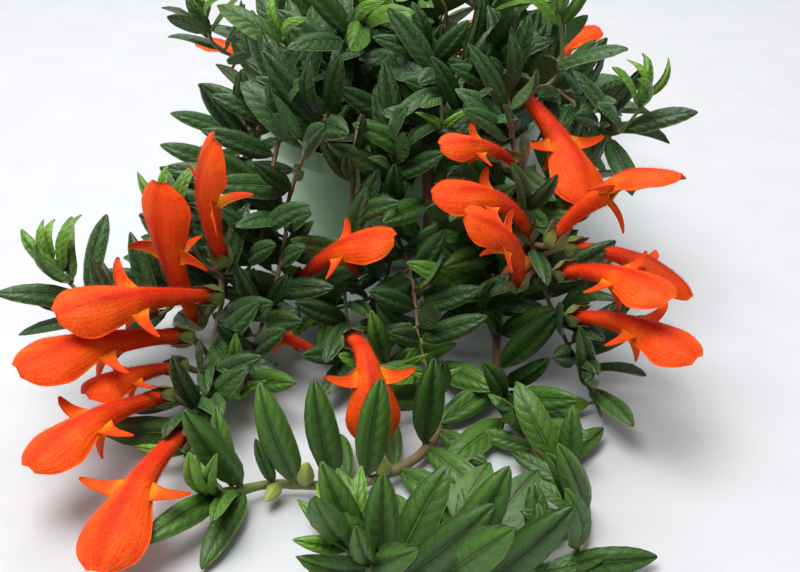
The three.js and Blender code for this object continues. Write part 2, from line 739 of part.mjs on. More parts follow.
// a leaf fits when its swollen self meets nothing, apart from its own stem by its root
function fits(owner, leaf) {
  const whole = leafSolid(leaf, clearance);
  const blade = leafSolid(leaf, clearance, 0.2);
  const box = whole.boundingBox();
  if (box.min[2] < lowestLeaf) {
    return false;
  }
  return taken.every((other) => {
    if (!boxesMeet(box, other.box)) {
      return true;
    }
    return (other.owner === owner ? blade : whole).intersect(other.solid).isEmpty();
  });
}

// whether a leaf would hide a flower from the front
function hides(leaf) {
  const places = [0.35, 0.65, 1].map((share) => leaf.root.clone().lerp(leaf.tip, share));
  return inSight.some(({ from, way }) =>
    places.some((place) => {
      const off = place.clone().sub(from);
      const along = off.dot(way);
      const aside = move(off, [way, -along]).length();
      return along > 0 && along < sightLength && aside < sightRadius;
    }),
  );
}

const smoothLine = (places) => new THREE.CatmullRomCurve3(places.map(point), false, "catmullrom", 0.5);

function routeOf(foot, route) {
  const rise = [stemFoot, stemFoot + 10, stemFoot + 20].map((z) => [...foot, z]);
  return smoothLine([...rise, ...route]);
}

// the middle of a stem between its rings, some distance along it
function onStem({ knots, thick, reach }, distance) {
  const share = distance / reach;
  const place = THREE.MathUtils.clamp(share, 0, 0.999) * (knots.length - 1);
  const [near, far] = knots.slice(Math.floor(place));
  const middle = near.clone().lerp(far, place % 1);
  const radius = THREE.MathUtils.lerp(thick, thinning * thick, share);
  return { middle, stemWay: far.clone().sub(near).normalize(), radius };
}

// the place inside a stem that a leaf grows from, towards the leaf's side
function rootIn(shoot, distance, way) {
  const { middle, stemWay, radius } = onStem(shoot, distance);
  return move(middle, [squareTo(way, stemWay), (1 - rootDepth) * radius]);
}

// leaves turn their upper face outwards and up
function leafFace(root, way) {
  const outward = new THREE.Vector3(root.x, root.y, 0).normalize();
  return squareTo(move(up, [outward, 1.1]), way);
}

// the leaf that a pair would have on one side, swung and lifted by some degrees
function leafAt(shoot, distance, turn, hand, age, tryOut) {
  const { middle, stemWay } = onStem(shoot, distance);
  const outward = new THREE.Vector3(middle.x, middle.y, 0).normalize();
  const rising = move(stemWay, [up, 1.6]).normalize();
  const start = squareTo(Math.abs(stemWay.z) > 0.8 ? outward : up, stemWay);
  const angle = THREE.MathUtils.degToRad(turn + tryOut.swing);
  const side = start.applyAxisAngle(stemWay, angle).multiplyScalar(hand);
  const lean = THREE.MathUtils.degToRad(shoot.lean * (1 - 0.55 * age) + tryOut.lift);
  const sideways = squareTo(side, rising);
  const way = move(sideways.multiplyScalar(Math.sin(lean)), [rising, Math.cos(lean)]).normalize();
  const length = shoot.leaf * (1 - 0.5 * age) * tryOut.size;
  const root = rootIn(shoot, distance, way);
  return {
    root,
    tip: move(root, [way, length]),
    face: leafFace(root, way),
    width: length * leafSlimness * (1 - 0.2 * age),
    arch: 0.05 + 0.05 * age,
    plain: shoot.plain || age > 0.6,
  };
}

// a leaf placed by hand
function placedLeaf(shoot, [distance, ...reach]) {
  const root = rootIn(shoot, distance, point(reach).normalize());
  const tip = root.clone().add(point(reach));
  const way = tip.clone().sub(root).normalize();
  const length = root.distanceTo(tip);
  const plain = length < 22;
  return { root, tip, face: leafFace(root, way), width: length * leafSlimness, arch: 0.06, plain };
}

function firstFit(shoot, distance, turn, hand, age, random) {
  for (let i = 0; i < 16; i += 1) {
    const spread = 8 + 5 * i;
    const tryOut = {
      swing: (random() - 0.5) * 2 * spread,
      lift: (random() - 0.5) * 1.6 * spread,
      size: 1 - 0.25 * random() * (i / 15) - (i > 9 ? 0.12 : 0),
    };
    const leaf = leafAt(shoot, distance, turn, hand, age, tryOut);
    if (!hides(leaf) && fits(shoot.owner, leaf)) {
      return leaf;
    }
  }
  return null;
}

// stems, twig and flowers stand first, and the leaves are fitted between them
const shootScene = [];
for (const shoot of shoots) {
  const parent = shoot.from && shootScene.find(({ name }) => name === shoot.from[0]);
  const start = parent && onStem(parent, shoot.from[1]).middle.toArray();
  const curve = parent ? smoothLine([start, ...shoot.route]) : routeOf(shoot.foot, shoot.route);
  const sides = shoot.plain ? plainStemSides : stemSides;
  const stem = stemSolid(curve, shoot.thick, thinning * shoot.thick, sides);
  const pieces = parent ? parent.pieces : [];
  pieces.push(stem);
  const knots = curve.getSpacedPoints(ringCount(curve, stemStep));
  const owner = parent ? parent.name : shoot.name;
  shootScene.push({ ...shoot, knots, reach: curve.getLength(), pieces, owner });
}
const rooted = shootScene.filter(({ foot }) => foot);
const twigCurve = routeOf(twigFoot, twigRoute);
const twig = stemSolid(twigCurve, 1.5, 0.7);
const feet = rooted.map(({ foot, thick }) => ({ place: point([...foot, 0]), radius: thick + 3 * gap }));
feet.push({ place: point([...twigFoot, 0]), radius: 1.5 + 3 * gap });
const pot = potSolid();
const soil = soilSolid(feet);

for (const bloom of bloomScene) {
  const shoot = shootScene.find(({ name }) => name === bloom.stem);
  const { middle, forward } = bloom.line.frame(0);
  const places = Array.from({ length: 120 }, (_, i) => onStem(shoot, (i / 120) * shoot.reach).middle);
  const root = places.reduce((best, place) =>
    place.distanceTo(middle) < best.distanceTo(middle) ? place : best,
  );
  const bend = move(root.clone().lerp(middle, 0.6), [forward, -2]);
  const pedicel = new THREE.QuadraticBezierCurve3(root, bend, move(middle, [forward, 1]));
  shoot.pieces.push(stemSolid(pedicel, 1.1, 1.4, 3, 9), calyxSolid(bloom.line));
  bloom.solid = corollaSolid(bloom.line);
  take(bloom.name, bloom.solid);
}
take("pot", pot);
take("soil", soil);
take("dry_twig", twig);
for (const shoot of rooted) {
  shoot.pieces.forEach((piece) => take(shoot.name, piece));
}

function addPiece(shoot, solid) {
  shoot.pieces.push(solid);
  take(shoot.owner, solid);
}

for (const shoot of shootScene) {
  for (const [distance, x, y, z, width] of shoot.buds ?? []) {
    const { middle } = onStem(shoot, distance);
    addPiece(shoot, budSolid(middle, move(middle, [point([x, y, z]), 1]), width));
  }
  for (const placed of shoot.leaves ?? []) {
    const leaf = placedLeaf(shoot, placed);
    if (fits(shoot.owner, leaf)) {
      addPiece(shoot, leafSolid(leaf));
    }
  }
}

// the distance along the stem and the age of each pair, from 0 for a full leaf to 1 at the tip
function pairsOf(shoot) {
  const length = shoot.reach;
  const last = shoot.until ?? length - youngStep * shoot.tips;
  const pairs = [];
  for (let distance = shoot.bare; distance < last - 2; distance += shoot.pairStep) {
    pairs.push([distance, 0]);
  }
  for (let i = 1; i <= shoot.tips; i += 1) {
    pairs.push([length - 1 - youngStep * (shoot.tips - i), i / shoot.tips]);
  }
  return pairs;
}

shootScene.forEach((shoot, index) => {
  const random = seededRandom(firstSeed + index);
  pairsOf(shoot).forEach(([distance, age], order) => {
    for (const hand of [1, -1]) {
      const leaf = firstFit(shoot, distance, shoot.turn + 90 * order, hand, age, random);
      if (leaf) {
        addPiece(shoot, leafSolid(leaf));
      }
    }
  });
});

const plant = new THREE.Group();
plant.name = "goldfish_plant";
plant.add(toMesh("pot", pot, potPlastic));
plant.add(toMesh("soil", soil, darkSoil));
plant.add(toMesh("dry_twig", twig, dryTwig));
for (const { name, pieces } of rooted) {
  plant.add(toMesh(name, wasm.Manifold.union(pieces), leafGreen));
}
for (const { name, solid } of bloomScene) {
  plant.add(toMesh(name, solid, petalOrange));
}

export default plant;
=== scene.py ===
import json
import math

import bmesh
import bpy
import numpy as np
from mathutils import Matrix, Vector, noise
from mathutils.kdtree import KDTree

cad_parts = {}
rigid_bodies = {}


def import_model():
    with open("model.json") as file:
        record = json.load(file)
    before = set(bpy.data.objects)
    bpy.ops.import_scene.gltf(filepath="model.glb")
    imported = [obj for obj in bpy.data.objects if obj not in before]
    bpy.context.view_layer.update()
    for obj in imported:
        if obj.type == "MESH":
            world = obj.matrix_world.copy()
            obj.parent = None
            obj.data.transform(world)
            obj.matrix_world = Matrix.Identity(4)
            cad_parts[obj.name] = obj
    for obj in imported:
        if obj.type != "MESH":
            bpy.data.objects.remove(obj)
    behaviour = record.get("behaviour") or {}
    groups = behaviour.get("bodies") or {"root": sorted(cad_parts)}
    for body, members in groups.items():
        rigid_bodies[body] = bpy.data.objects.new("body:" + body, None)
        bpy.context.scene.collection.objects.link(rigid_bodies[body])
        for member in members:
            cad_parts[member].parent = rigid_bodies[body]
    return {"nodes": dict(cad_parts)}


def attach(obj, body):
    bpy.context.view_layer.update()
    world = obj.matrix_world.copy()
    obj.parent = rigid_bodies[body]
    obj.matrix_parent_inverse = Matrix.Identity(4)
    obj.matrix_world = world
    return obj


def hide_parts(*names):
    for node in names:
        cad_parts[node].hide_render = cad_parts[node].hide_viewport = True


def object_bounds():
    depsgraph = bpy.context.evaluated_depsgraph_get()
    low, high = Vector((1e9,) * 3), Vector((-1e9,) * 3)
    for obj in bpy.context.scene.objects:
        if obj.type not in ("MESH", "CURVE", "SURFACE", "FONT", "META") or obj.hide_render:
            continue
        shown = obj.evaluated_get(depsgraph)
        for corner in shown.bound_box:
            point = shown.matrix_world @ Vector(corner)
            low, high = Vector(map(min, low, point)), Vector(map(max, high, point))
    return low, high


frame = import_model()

# A goldfish plant in a shallow pot: leafy stems that trail over the rim, with orange hooded flowers.
# Lengths are in millimetres in the tables and in metres in Blender.
mm = 0.001
cadLow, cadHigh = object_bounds()
collection = bpy.context.scene.collection


# small helpers for meshes

def colour(code):
    # linear colour from a web colour code
    parts = [int(code[i:i + 2], 16) / 255 for i in (0, 2, 4)]
    linear = [p / 12.92 if p <= 0.04045 else ((p + 0.055) / 1.055) ** 2.4 for p in parts]
    return (*linear, 1.0)


def unit(vector):
    length = np.linalg.norm(vector, axis=-1, keepdims=True)
    return vector / np.maximum(length, 1e-9)


def squareTo(direction, axis):
    return unit(direction - np.sum(direction * axis, axis=-1, keepdims=True) * axis)


def smoothStep(value, low, high):
    share = np.clip((np.asarray(value, float) - low) / (high - low), 0, 1)
    return share * share * (3 - 2 * share)


def throughPoints(at, xs, ys):
    # smooth line through a few given points, without overshoot at flat ends
    xs, ys = np.asarray(xs, float), np.asarray(ys, float)
    slopes = np.gradient(ys, xs)
    at = np.clip(at, xs[0], xs[-1])
    i = np.clip(np.searchsorted(xs, at, side="right") - 1, 0, len(xs) - 2)
    span = xs[i + 1] - xs[i]
    t = (at - xs[i]) / span
    return (
        ys[i] * (1 + 2 * t) * (1 - t) ** 2
        + slopes[i] * span * t * (1 - t) ** 2
        + ys[i + 1] * t * t * (3 - 2 * t)
        - slopes[i + 1] * span * t * t * (1 - t)
    )


def stripFaces(rows, columns, closed=False, start=0):
    # quads of a grid, wrapped round where closed
    wide = columns if closed else columns - 1
    faces = []
    for i in range(rows - 1):
        for j in range(wide):
            k = (j + 1) % columns
            a, b = start + i * columns, start + (i + 1) * columns
            faces.append((a + j, a + k, b + k, b + j))
    return faces


class Shape:
    # a mesh in the making: corners in millimetres, faces, values for each corner, a map and finishes
    def __init__(self):
        self.places, self.faces, self.finish, self.maps = [], [], [], []
        self.values = {}
        self.count = 0

    def add(self, places, faces, finish=0, uv=None, **values):
        places = np.asarray(places, float).reshape(-1, 3)
        for key in set(values) | set(self.values):
            known = self.values.setdefault(key, [np.zeros(self.count)])
            known.append(np.broadcast_to(np.asarray(values.get(key, 0.0), float).ravel(), (len(places),)))
        self.places.append(places)
        self.maps.append(np.zeros((len(places), 2)) if uv is None else np.asarray(uv, float).reshape(-1, 2))
        self.faces += [tuple(c + self.count for c in face) for face in faces]
        self.finish += [finish] * len(faces)
        self.count += len(places)

    def toObject(self, name, finishes=(), smooth=True):
        mesh = bpy.data.meshes.new(name)
        mesh.from_pydata((np.concatenate(self.places) * mm).tolist(), [], self.faces)
        for key, parts in self.values.items():
            layer = mesh.attributes.new(key, "FLOAT", "POINT")
            layer.data.foreach_set("value", np.concatenate(parts).astype(np.float32))
        corners = np.empty(len(mesh.loops), np.int32)
        mesh.loops.foreach_get("vertex_index", corners)
        flat = mesh.uv_layers.new(name="UVMap")
        flat.uv.foreach_set("vector", np.concatenate(self.maps)[corners].astype(np.float32).ravel())
        for finish in finishes:
            mesh.materials.append(finish)
        mesh.polygons.foreach_set("material_index", np.array(self.finish, np.int32))
        mesh.polygons.foreach_set("use_smooth", np.full(len(self.faces), smooth))
        mesh.update()
        made = bpy.data.objects.new(name, mesh)
        collection.objects.link(made)
        return made


def faceOut(places, faces):
    # turns a closed set of faces outwards
    places = np.asarray(places, float).reshape(-1, 3)
    volume = 0.0
    for face in faces:
        a = places[face[0]]
        for b, c in zip(face[1:-1], face[2:]):
            volume += np.dot(a, np.cross(places[b], places[c]))
    return faces if volume > 0 else [face[::-1] for face in faces]


def thickSheet(grid, thickness, closedRows=0):
    # A thin closed solid round a grid of places. The first closedRows rows are a tube, whose last
    # column meets the first. Returns places, faces and which skin each corner is on.
    rows, columns = grid.shape[:2]
    down, across = np.gradient(grid, axis=0), np.gradient(grid, axis=1)
    normal = unit(np.cross(across, down))
    half = np.broadcast_to(np.asarray(thickness, float), (rows, columns))[..., None] / 2
    places = np.concatenate([(grid + normal * half).reshape(-1, 3), (grid - normal * half).reshape(-1, 3)])
    below, last = rows * columns, columns - 1
    at = lambda i, j: i * columns + j
    faces = stripFaces(rows, columns)
    faces += [(at(i, last), at(i, 0), at(i + 1, 0), at(i + 1, last)) for i in range(closedRows - 1)]
    faces += [tuple(c + below for c in face[::-1]) for face in faces]
    first = max(closedRows - 1, 0)
    edge = [(at(i, 0), at(i + 1, 0)) for i in range(first, rows - 1)]
    edge += [(at(rows - 1, j), at(rows - 1, j + 1)) for j in range(last)]
    edge += [(at(i + 1, last), at(i, last)) for i in range(rows - 2, first - 1, -1)]
    edge += [(at(0, j + 1), at(0, j)) for j in range(last - 1, -1, -1)]
    if closedRows:
        edge += [(at(0, 0), at(0, last)), (at(first, last), at(first, 0))]
    faces += [(b, a, a + below, b + below) for a, b in edge]
    skin = np.repeat([1.0, 0.0], below)
    return places, faceOut(places, faces), skin


# small helpers for node trees

def socketOf(sockets, key):
    if isinstance(key, int):
        return sockets[key]
    return next(s for s in sockets if s.name == key and s.enabled)


def addNode(tree, kind, inputs=None, **settings):
    made = tree.nodes.new(kind)
    for key, value in settings.items():
        setattr(made, key, value)
    for key, value in (inputs or {}).items():
        target = socketOf(made.inputs, key)
        if isinstance(value, bpy.types.NodeSocket):
            tree.links.new(value, target)
        elif isinstance(value, bpy.types.Node):
            tree.links.new(next(s for s in value.outputs if s.enabled), target)
        else:
            target.default_value = value
    return made


def newTree(name, **sockets):
    # a Geometry Nodes tree with named inputs
    tree = bpy.data.node_groups.new(name, "GeometryNodeTree")
    tree.is_modifier = True
    tree.interface.new_socket(name="Geometry", in_out="INPUT", socket_type="NodeSocketGeometry")
    tree.interface.new_socket(name="Geometry", in_out="OUTPUT", socket_type="NodeSocketGeometry")
    for label, kind in sockets.items():
        label = label.replace("_", " ")
        tree.interface.new_socket(name=label, in_out="INPUT", socket_type="NodeSocket" + kind)
    return tree, tree.nodes.new("NodeGroupInput"), tree.nodes.new("NodeGroupOutput")


def plainMesh(made):
    # the object's mesh with its modifiers worked in
    bpy.context.view_layer.update()
    graph = bpy.context.evaluated_depsgraph_get()
    grown = made.evaluated_get(graph)
    return bpy.data.meshes.new_from_object(grown, preserve_all_data_layers=True, depsgraph=graph)


def grow(host, tree, finishedName, **values):
    # runs a tree on a host object and keeps its result as a plain mesh
    modifier = host.modifiers.new("grow", "NODES")
    modifier.node_group = tree
    for item in tree.interface.items_tree:
        key = item.name.replace(" ", "_")
        if item.in_out == "INPUT" and key in values:
            modifier[item.identifier] = values[key]
    mesh = plainMesh(host)
    mesh.name = finishedName
    host.modifiers.remove(modifier)
    bpy.data.objects.remove(host)
    made = bpy.data.objects.new(finishedName, mesh)
    collection.objects.link(made)
    return made


def named(tree, name, kind="FLOAT"):
    read = addNode(tree, "GeometryNodeInputNamedAttribute", data_type=kind)
    read.inputs["Name"].default_value = name
    return socketOf(read.outputs, "Attribute")


# stems: the routes that the solids follow, repeated here

stemLook = {
    "soilRise": (46, 56, 66),   # heights of the straight part in the soil
    "thinning": 0.55,           # tip radius as a share of the foot's
    "step": 2.2,                # between rings
    "between": 24,              # fine steps between two points of a route
    "nodeSwelling": 0.22,
    "nodeShare": 0.6,           # each leaf's part in the swelling
    "nodeReach": 1.7,
    "slim": 0.74,               # the fine stem's radius as a share of the solid one's
    "sides": 9,
    "bark": 0.35,
    "lowest": 0.3,              # nothing of a leafy stem lies lower over the table
}

# Each shoot has its foot in the soil, its radius and its route from there. Some have a slim share of
# their own, a fresh green, more or fewer rounds of lesser leaves, woody bark, and buds. A bud has its
# distance along the stem, its reach in x, y and z, its width and how ripe it is.
shoots = {
    "shoot_front_table": {
        "foot": (10, -36), "thick": 2.3, "slim": 1.25, "fresh": 0.38, "fill": 0,
        "route": [
            (12, -50, 85), (12, -70, 88), (12, -86, 62), (12, -98, 30), (13, -116, 10), (15, -140, 5),
            (15, -158, 5), (13, -176, 5), (4, -190, 6), (-11, -200, 6), (-28, -202, 5.5), (-47, -202, 6),
            (-60, -208, 8), (-70, -214, 12),
        ],
        "buds": [(248, -1, -2, 11, 6), (268, 2, -11, 2, 5), (278, 2, -2, 13, 6.5), (287, -4, -10, 1, 5.5)],
    },
    "shoot_front_trail": {
        "foot": (34, -20), "thick": 2.2, "slim": 1.1, "fresh": 0.38, "fill": 4,
        "route": [
            (37, -44, 84), (39, -64, 86), (42, -80, 76), (43, -94, 50), (43, -108, 20), (41, -128, 8),
            (41, -150, 6), (47, -172, 6), (55, -189, 6), (62, -199, 5), (66, -213, 5), (61, -233, 5),
            (48, -243, 5), (28, -247, 5), (0, -245, 6), (-12, -241, 8), (-20, -236, 13),
        ],
        "buds": [(320, -9, 5, 4, 5)],
    },
    "shoot_right_droop": {
        "foot": (36, -6), "thick": 1.8, "fill": 2,
        "route": [
            (42, -30, 90), (45, -62, 101), (46, -90, 92), (50, -110, 76), (54, -119, 56), (60, -125, 38),
            (70, -135, 18), (78, -150, 7), (80, -163, 5),
        ],
        "buds": [(172, -14, -3, -6, 8, 1.0)],
    },
    "shoot_centre_droop": {
        "foot": (0, -44), "thick": 1.6,
        "route": [
            (0, -54, 84), (-1, -68, 89), (-3, -82, 76), (-3, -86, 54), (-4, -90, 34), (-10, -96, 20),
            (-24, -101, 16), (-38, -105, 15),
        ],
    },
    "shoot_left_droop": {
        "foot": (-20, -36), "thick": 1.7,
        "route": [
            (-26, -50, 84), (-33, -68, 89), (-41, -80, 79), (-49, -86, 56), (-49, -91, 36),
            (-45, -100, 18), (-44, -112, 9),
        ],
    },
    "shoot_left_flowering": {
        "foot": (-32, -22), "thick": 1.7,
        "route": [
            (-40, -40, 84), (-48, -58, 91), (-55, -78, 72), (-60, -98, 48), (-68, -112, 37),
            (-80, -115, 45), (-87, -113, 58), (-94, -111, 72),
        ],
    },
    "shoot_left_low": {
        "foot": (-38, -8), "thick": 1.8,
        "route": [
            (-48, -26, 85), (-59, -44, 90), (-66, -62, 72), (-72, -84, 46), (-76, -110, 26),
            (-79, -134, 15), (-79, -152, 8), (-78, -172, 6), (-81, -187, 6),
        ],
    },
    "shoot_far_left": {
        "foot": (-42, 5), "thick": 1.7,
        "route": [
            (-54, -12, 84), (-66, -30, 86), (-74, -48, 66), (-80, -74, 44), (-89, -104, 32),
            (-99, -128, 30), (-113, -141, 38), (-126, -138, 47), (-138, -131, 58),
        ],
    },
    "shoot_shade": {
        "foot": (22, -30), "thick": 1.6,
        "route": [
            (25, -48, 92), (27, -74, 95), (28, -92, 80), (28, -101, 56), (29, -108, 38), (31, -118, 24),
        ],
    },
    "shoot_low_centre": {
        "foot": (-10, -30), "thick": 1.6,
        "route": [
            (-15, -50, 84), (-18, -72, 89), (-20, -88, 68), (-23, -101, 44), (-23, -116, 24),
            (-19, -131, 13), (-9, -140, 11), (2, -141, 12),
        ],
    },
    "shoot_up_centre": {
        "foot": (-12, -12), "thick": 1.7,
        "route": [(-22, -24, 86), (-28, -31, 100), (-25, -35, 110), (-18, -38, 120), (-13, -41, 127)],
    },
    "shoot_top_left": {
        "foot": (-26, -6), "thick": 1.7,
        "route": [(-36, -14, 84), (-46, -24, 98), (-50, -32, 108), (-51, -38, 116)],
    },
    "shoot_upper_left": {
        "foot": (-36, 18), "thick": 1.6,
        "route": [
            (-52, 18, 82), (-64, 17, 85), (-74, 15, 86), (-83, 10, 90), (-90, 5, 97), (-92, 2, 107),
            (-93, 0, 118),
        ],
    },
    "shoot_top_middle": {
        "foot": (2, 6), "thick": 1.7,
        "route": [(2, 8, 90), (4, 4, 110), (8, 0, 124)],
        "buds": [(62, 8, -6, 6, 6, 0.6)],
    },
    "shoot_woody_right": {
        "foot": (25, -3), "thick": 2.3, "woody": 1.0,
        "route": [
            (28, -14, 86), (32, -27, 102), (40, -38, 107), (53, -41, 100), (65, -41, 94), (72, -37, 104),
            (71, -34, 118), (70, -33, 126),
        ],
    },
    "shoot_far_right": {
        "foot": (34, 10), "thick": 1.6,
        "route": [
            (48, -6, 84), (63, -22, 90), (78, -44, 88), (86, -62, 84), (92, -75, 87), (99, -78, 98),
            (103, -78, 106),
        ],
    },
    "shoot_right_side": {
        "foot": (46, 4), "thick": 1.6,
        "route": [(59, 1, 84), (72, -8, 82), (79, -20, 62), (82, -34, 42), (84, -46, 26)],
    },
    "shoot_top_right": {
        "foot": (18, 14), "thick": 1.6,
        "route": [(28, 18, 88), (40, 20, 104), (48, 18, 116)],
    },
    "shoot_front_crown": {
        "foot": (4, -18), "thick": 1.6,
        "route": [(9, -32, 94), (14, -48, 110), (16, -64, 112), (17, -79, 104), (17, -90, 94)],
    },
    "shoot_back": {
        "foot": (4, 36), "thick": 1.8,
        "route": [
            (6, 54, 84), (8, 73, 88), (10, 89, 64), (10, 99, 36), (6, 113, 12), (0, 132, 6), (-10, 148, 6),
        ],
    },
    "shoot_back_left": {
        "foot": (-24, 32), "thick": 1.7,
        "route": [
            (-35, 45, 84), (-48, 60, 87), (-58, 76, 62), (-62, 88, 34), (-66, 104, 12), (-74, 120, 6),
        ],
    },
    "shoot_back_right": {
        "foot": (30, 30), "thick": 1.7,
        "route": [(41, 42, 84), (54, 56, 88), (64, 70, 62), (68, 84, 34), (73, 100, 12), (84, 112, 6)],
    },
    "shoot_left_back": {
        "foot": (-44, 30), "thick": 1.6,
        "route": [(-58, 38, 82), (-70, 48, 80), (-76, 58, 54), (-78, 68, 28), (-82, 82, 9), (-92, 96, 6)],
    },
    "shoot_right_back": {
        "foot": (46, 20), "thick": 1.6,
        "route": [(59, 27, 84), (72, 36, 82), (80, 46, 58), (84, 56, 30), (91, 70, 10), (103, 80, 6)],
    },
    "shoot_top_back_left": {
        "foot": (-14, 22), "thick": 1.6,
        "route": [(-20, 32, 90), (-24, 42, 106), (-25, 50, 118)],
    },
    "shoot_top_back_right": {
        "foot": (14, 28), "thick": 1.6,
        "route": [(21, 38, 92), (26, 46, 108), (27, 52, 118)],
    },
}

# side branches, each with its parent and how far along it stands
branches = {
    "shoot_left_droop": {
        "from": 118, "thick": 1.4,
        "route": [(-52, -104, 36), (-57, -120, 24), (-62, -138, 14), (-63, -156, 8)],
    },
    "shoot_centre_droop": {
        "from": 106, "thick": 1.3,
        "route": [(4, -104, 40), (6, -120, 34), (8, -136, 22), (13, -152, 12)],
    },
}


def smoothRoute(points, step):
    # evenly spaced places on a smooth line through the points
    p = np.asarray(points, float)
    p = np.vstack([2 * p[0] - p[1], p, 2 * p[-1] - p[-2]])
    fine = []
    t = np.linspace(0, 1, stemLook["between"], endpoint=False)[:, None]
    for a, b, c, d in zip(p, p[1:], p[2:], p[3:]):
        second = a - 2.5 * b + 2 * c - 0.5 * d
        third = 1.5 * (b - c) + 0.5 * (d - a)
        fine.append(b + 0.5 * t * (c - a) + t * t * second + t ** 3 * third)
    fine = np.vstack(fine + [p[-2:-1]])
    along = np.concatenate([[0], np.cumsum(np.linalg.norm(np.diff(fine, axis=0), axis=1))])
    count = max(3, round(along[-1] / step)) + 1
    at = np.linspace(0, along[-1], count)
    return np.stack([np.interp(at, along, fine[:, k]) for k in range(3)], axis=1), at


class Stem:
    # one stem's middle line, its distances from the foot and its radii
    def __init__(self, points, thick, thinning=None, slim=None):
        self.line, self.along = smoothRoute(points, stemLook["step"])
        self.reach = self.along[-1]
        share = self.along / self.reach
        tip = thinning or stemLook["thinning"]
        self.radius = thick * (slim or stemLook["slim"]) * (1 + (tip - 1) * share)

    def at(self, distance):
        place = np.array([np.interp(distance, self.along, self.line[:, k]) for k in range(3)])
        ahead = np.array([np.interp(distance + 1, self.along, self.line[:, k]) for k in range(3)])
        behind = np.array([np.interp(distance - 1, self.along, self.line[:, k]) for k in range(3)])
        return place, unit(ahead - behind), np.interp(distance, self.along, self.radius)

    def nearest(self, place):
        # distance along the stem of the nearest point, and how far off it is
        off = np.linalg.norm(self.line - place, axis=1)
        return self.along[off.argmin()], off.min()


def nearestOf(own, place):
    # the nearest of a shoot's stems, and how far along it that is
    distances = [stem.nearest(place) for stem in own]
    k = int(np.argmin([d[1] for d in distances]))
    return own[k], distances[k][0]


stems = {}
for name, shoot in shoots.items():
    rise = [(*shoot["foot"], z) for z in stemLook["soilRise"]]
    stems[name] = [Stem(rise + shoot["route"], shoot["thick"], slim=shoot.get("slim"))]
for name, branch in branches.items():
    start = tuple(stems[name][0].at(branch["from"])[0])
    stems[name].append(Stem([start] + branch["route"], branch["thick"]))


# leaves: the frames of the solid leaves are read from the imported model

leafLook = {
    "keel": 1.1,                          # the solid leaf's depth under its upper face
    "keelSlack": 0.08,
    "sideSlack": 0.12,
    "leastSpread": 1.5,
    "lengths": (5, 60),
    # cross-sections of the solid leaf: share of the length and of the full width
    "stations": ((0.28, 0.9), (0.66, 0.94)),
    "plainStation": (0.42, 1.0),
    "youngReach": 15,                     # the last part of a stem, with bright young leaves
    "youngLength": 34,                    # longer leaves there are only half as bright
    "nodeLength": 20,                     # shorter leaves leave the stem as it is
    "stalk": (0.3, 0.011, 0.06),          # radius, more of it for each millimetre of leaf, and reach
}


def stationOf(corners):
    # a leaf's cross-section from its three corners: its middle, width and the way it faces, or None
    a, b, c = corners
    sides = [np.linalg.norm(b - c), np.linalg.norm(c - a), np.linalg.norm(a - b)]
    keel = int(np.argmax(sides))
    left, right = [corners[k] for k in range(3) if k != keel]
    middle = (left + right) / 2
    depth = np.linalg.norm(middle - corners[keel])
    if abs(depth - leafLook["keel"]) > leafLook["keelSlack"] or sides[keel] < leafLook["leastSpread"]:
        return None
    slant = np.linalg.norm(left - corners[keel]) - np.linalg.norm(right - corners[keel])
    if abs(slant) > leafLook["sideSlack"]:
        return None
    return {"middle": middle, "spread": sides[keel], "face": (middle - corners[keel]) / depth}


def readLeaves(node):
    # finds each leaf's tip, which has three neighbours, and works its frame out from the stations
    mesh = node.data
    co = np.empty(len(mesh.vertices) * 3)
    mesh.vertices.foreach_get("co", co)
    # corners within a hundredth of a millimetre are one
    rounded = np.round(co.reshape(-1, 3) / mm * 100).astype(int)
    grid, index = np.unique(rounded, axis=0, return_inverse=True)
    places = grid / 100
    index = index.ravel()
    beside = [set() for _ in places]
    for polygon in mesh.polygons:
        face = [index[v] for v in polygon.vertices]
        for v in face:
            beside[v].update(face)
    for v, others in enumerate(beside):
        others.discard(v)
    leaves = []
    for tip, ring in enumerate(beside):
        if len(ring) != 3 or any(len(beside[v] & ring) != 2 for v in ring):
            continue
        end = stationOf([places[v] for v in ring])
        if end is None:
            continue
        further = set().union(*(beside[v] for v in ring)) - ring - {tip}
        start = stationOf([places[v] for v in further]) if len(further) == 3 else None
        toTip = end["middle"] - places[tip]
        # from its root the middle line runs as reach * share + bow * share * (1 - share)
        if start:
            (s1, w1), (s2, w2) = leafLook["stations"]
            a1, a2, b1, b2 = s1 - 1, s2 - 1, s1 * (1 - s1), s2 * (1 - s2)
            other = start["middle"] - places[tip]
            reach = (other * b2 - toTip * b1) / (a1 * b2 - a2 * b1)
            bow = (toTip * a1 - other * a2) / (a1 * b2 - a2 * b1)
            width = start["spread"] / w1 / 2 + end["spread"] / w2 / 2
        else:
            s, w = leafLook["plainStation"]
            bow = end["face"] * np.dot(toTip, end["face"]) / (s * (1 - s))
            reach = (toTip - bow * s * (1 - s)) / (s - 1)
            width = end["spread"] / w
        length = np.linalg.norm(reach)
        if leafLook["lengths"][0] < length < leafLook["lengths"][1]:
            way = reach / length
            leaves.append({
                "root": places[tip] - reach, "way": way, "length": length, "width": width,
                "face": squareTo(end["face"], way), "bow": np.linalg.norm(bow) / 4,
            })
    return leaves


# finishes

def newFinish(name, **settings):
    made = bpy.data.materials.new(name)
    made.use_nodes = True
    tree = made.node_tree
    shader = tree.nodes["Principled BSDF"]
    for key, value in settings.items():
        shader.inputs[key.replace("_", " ")].default_value = value
    return made, tree, shader


def mixed(tree, factor, first, second):
    node = addNode(tree, "ShaderNodeMix", {"Factor": factor, "A": first, "B": second}, data_type="RGBA")
    return socketOf(node.outputs, "Result")


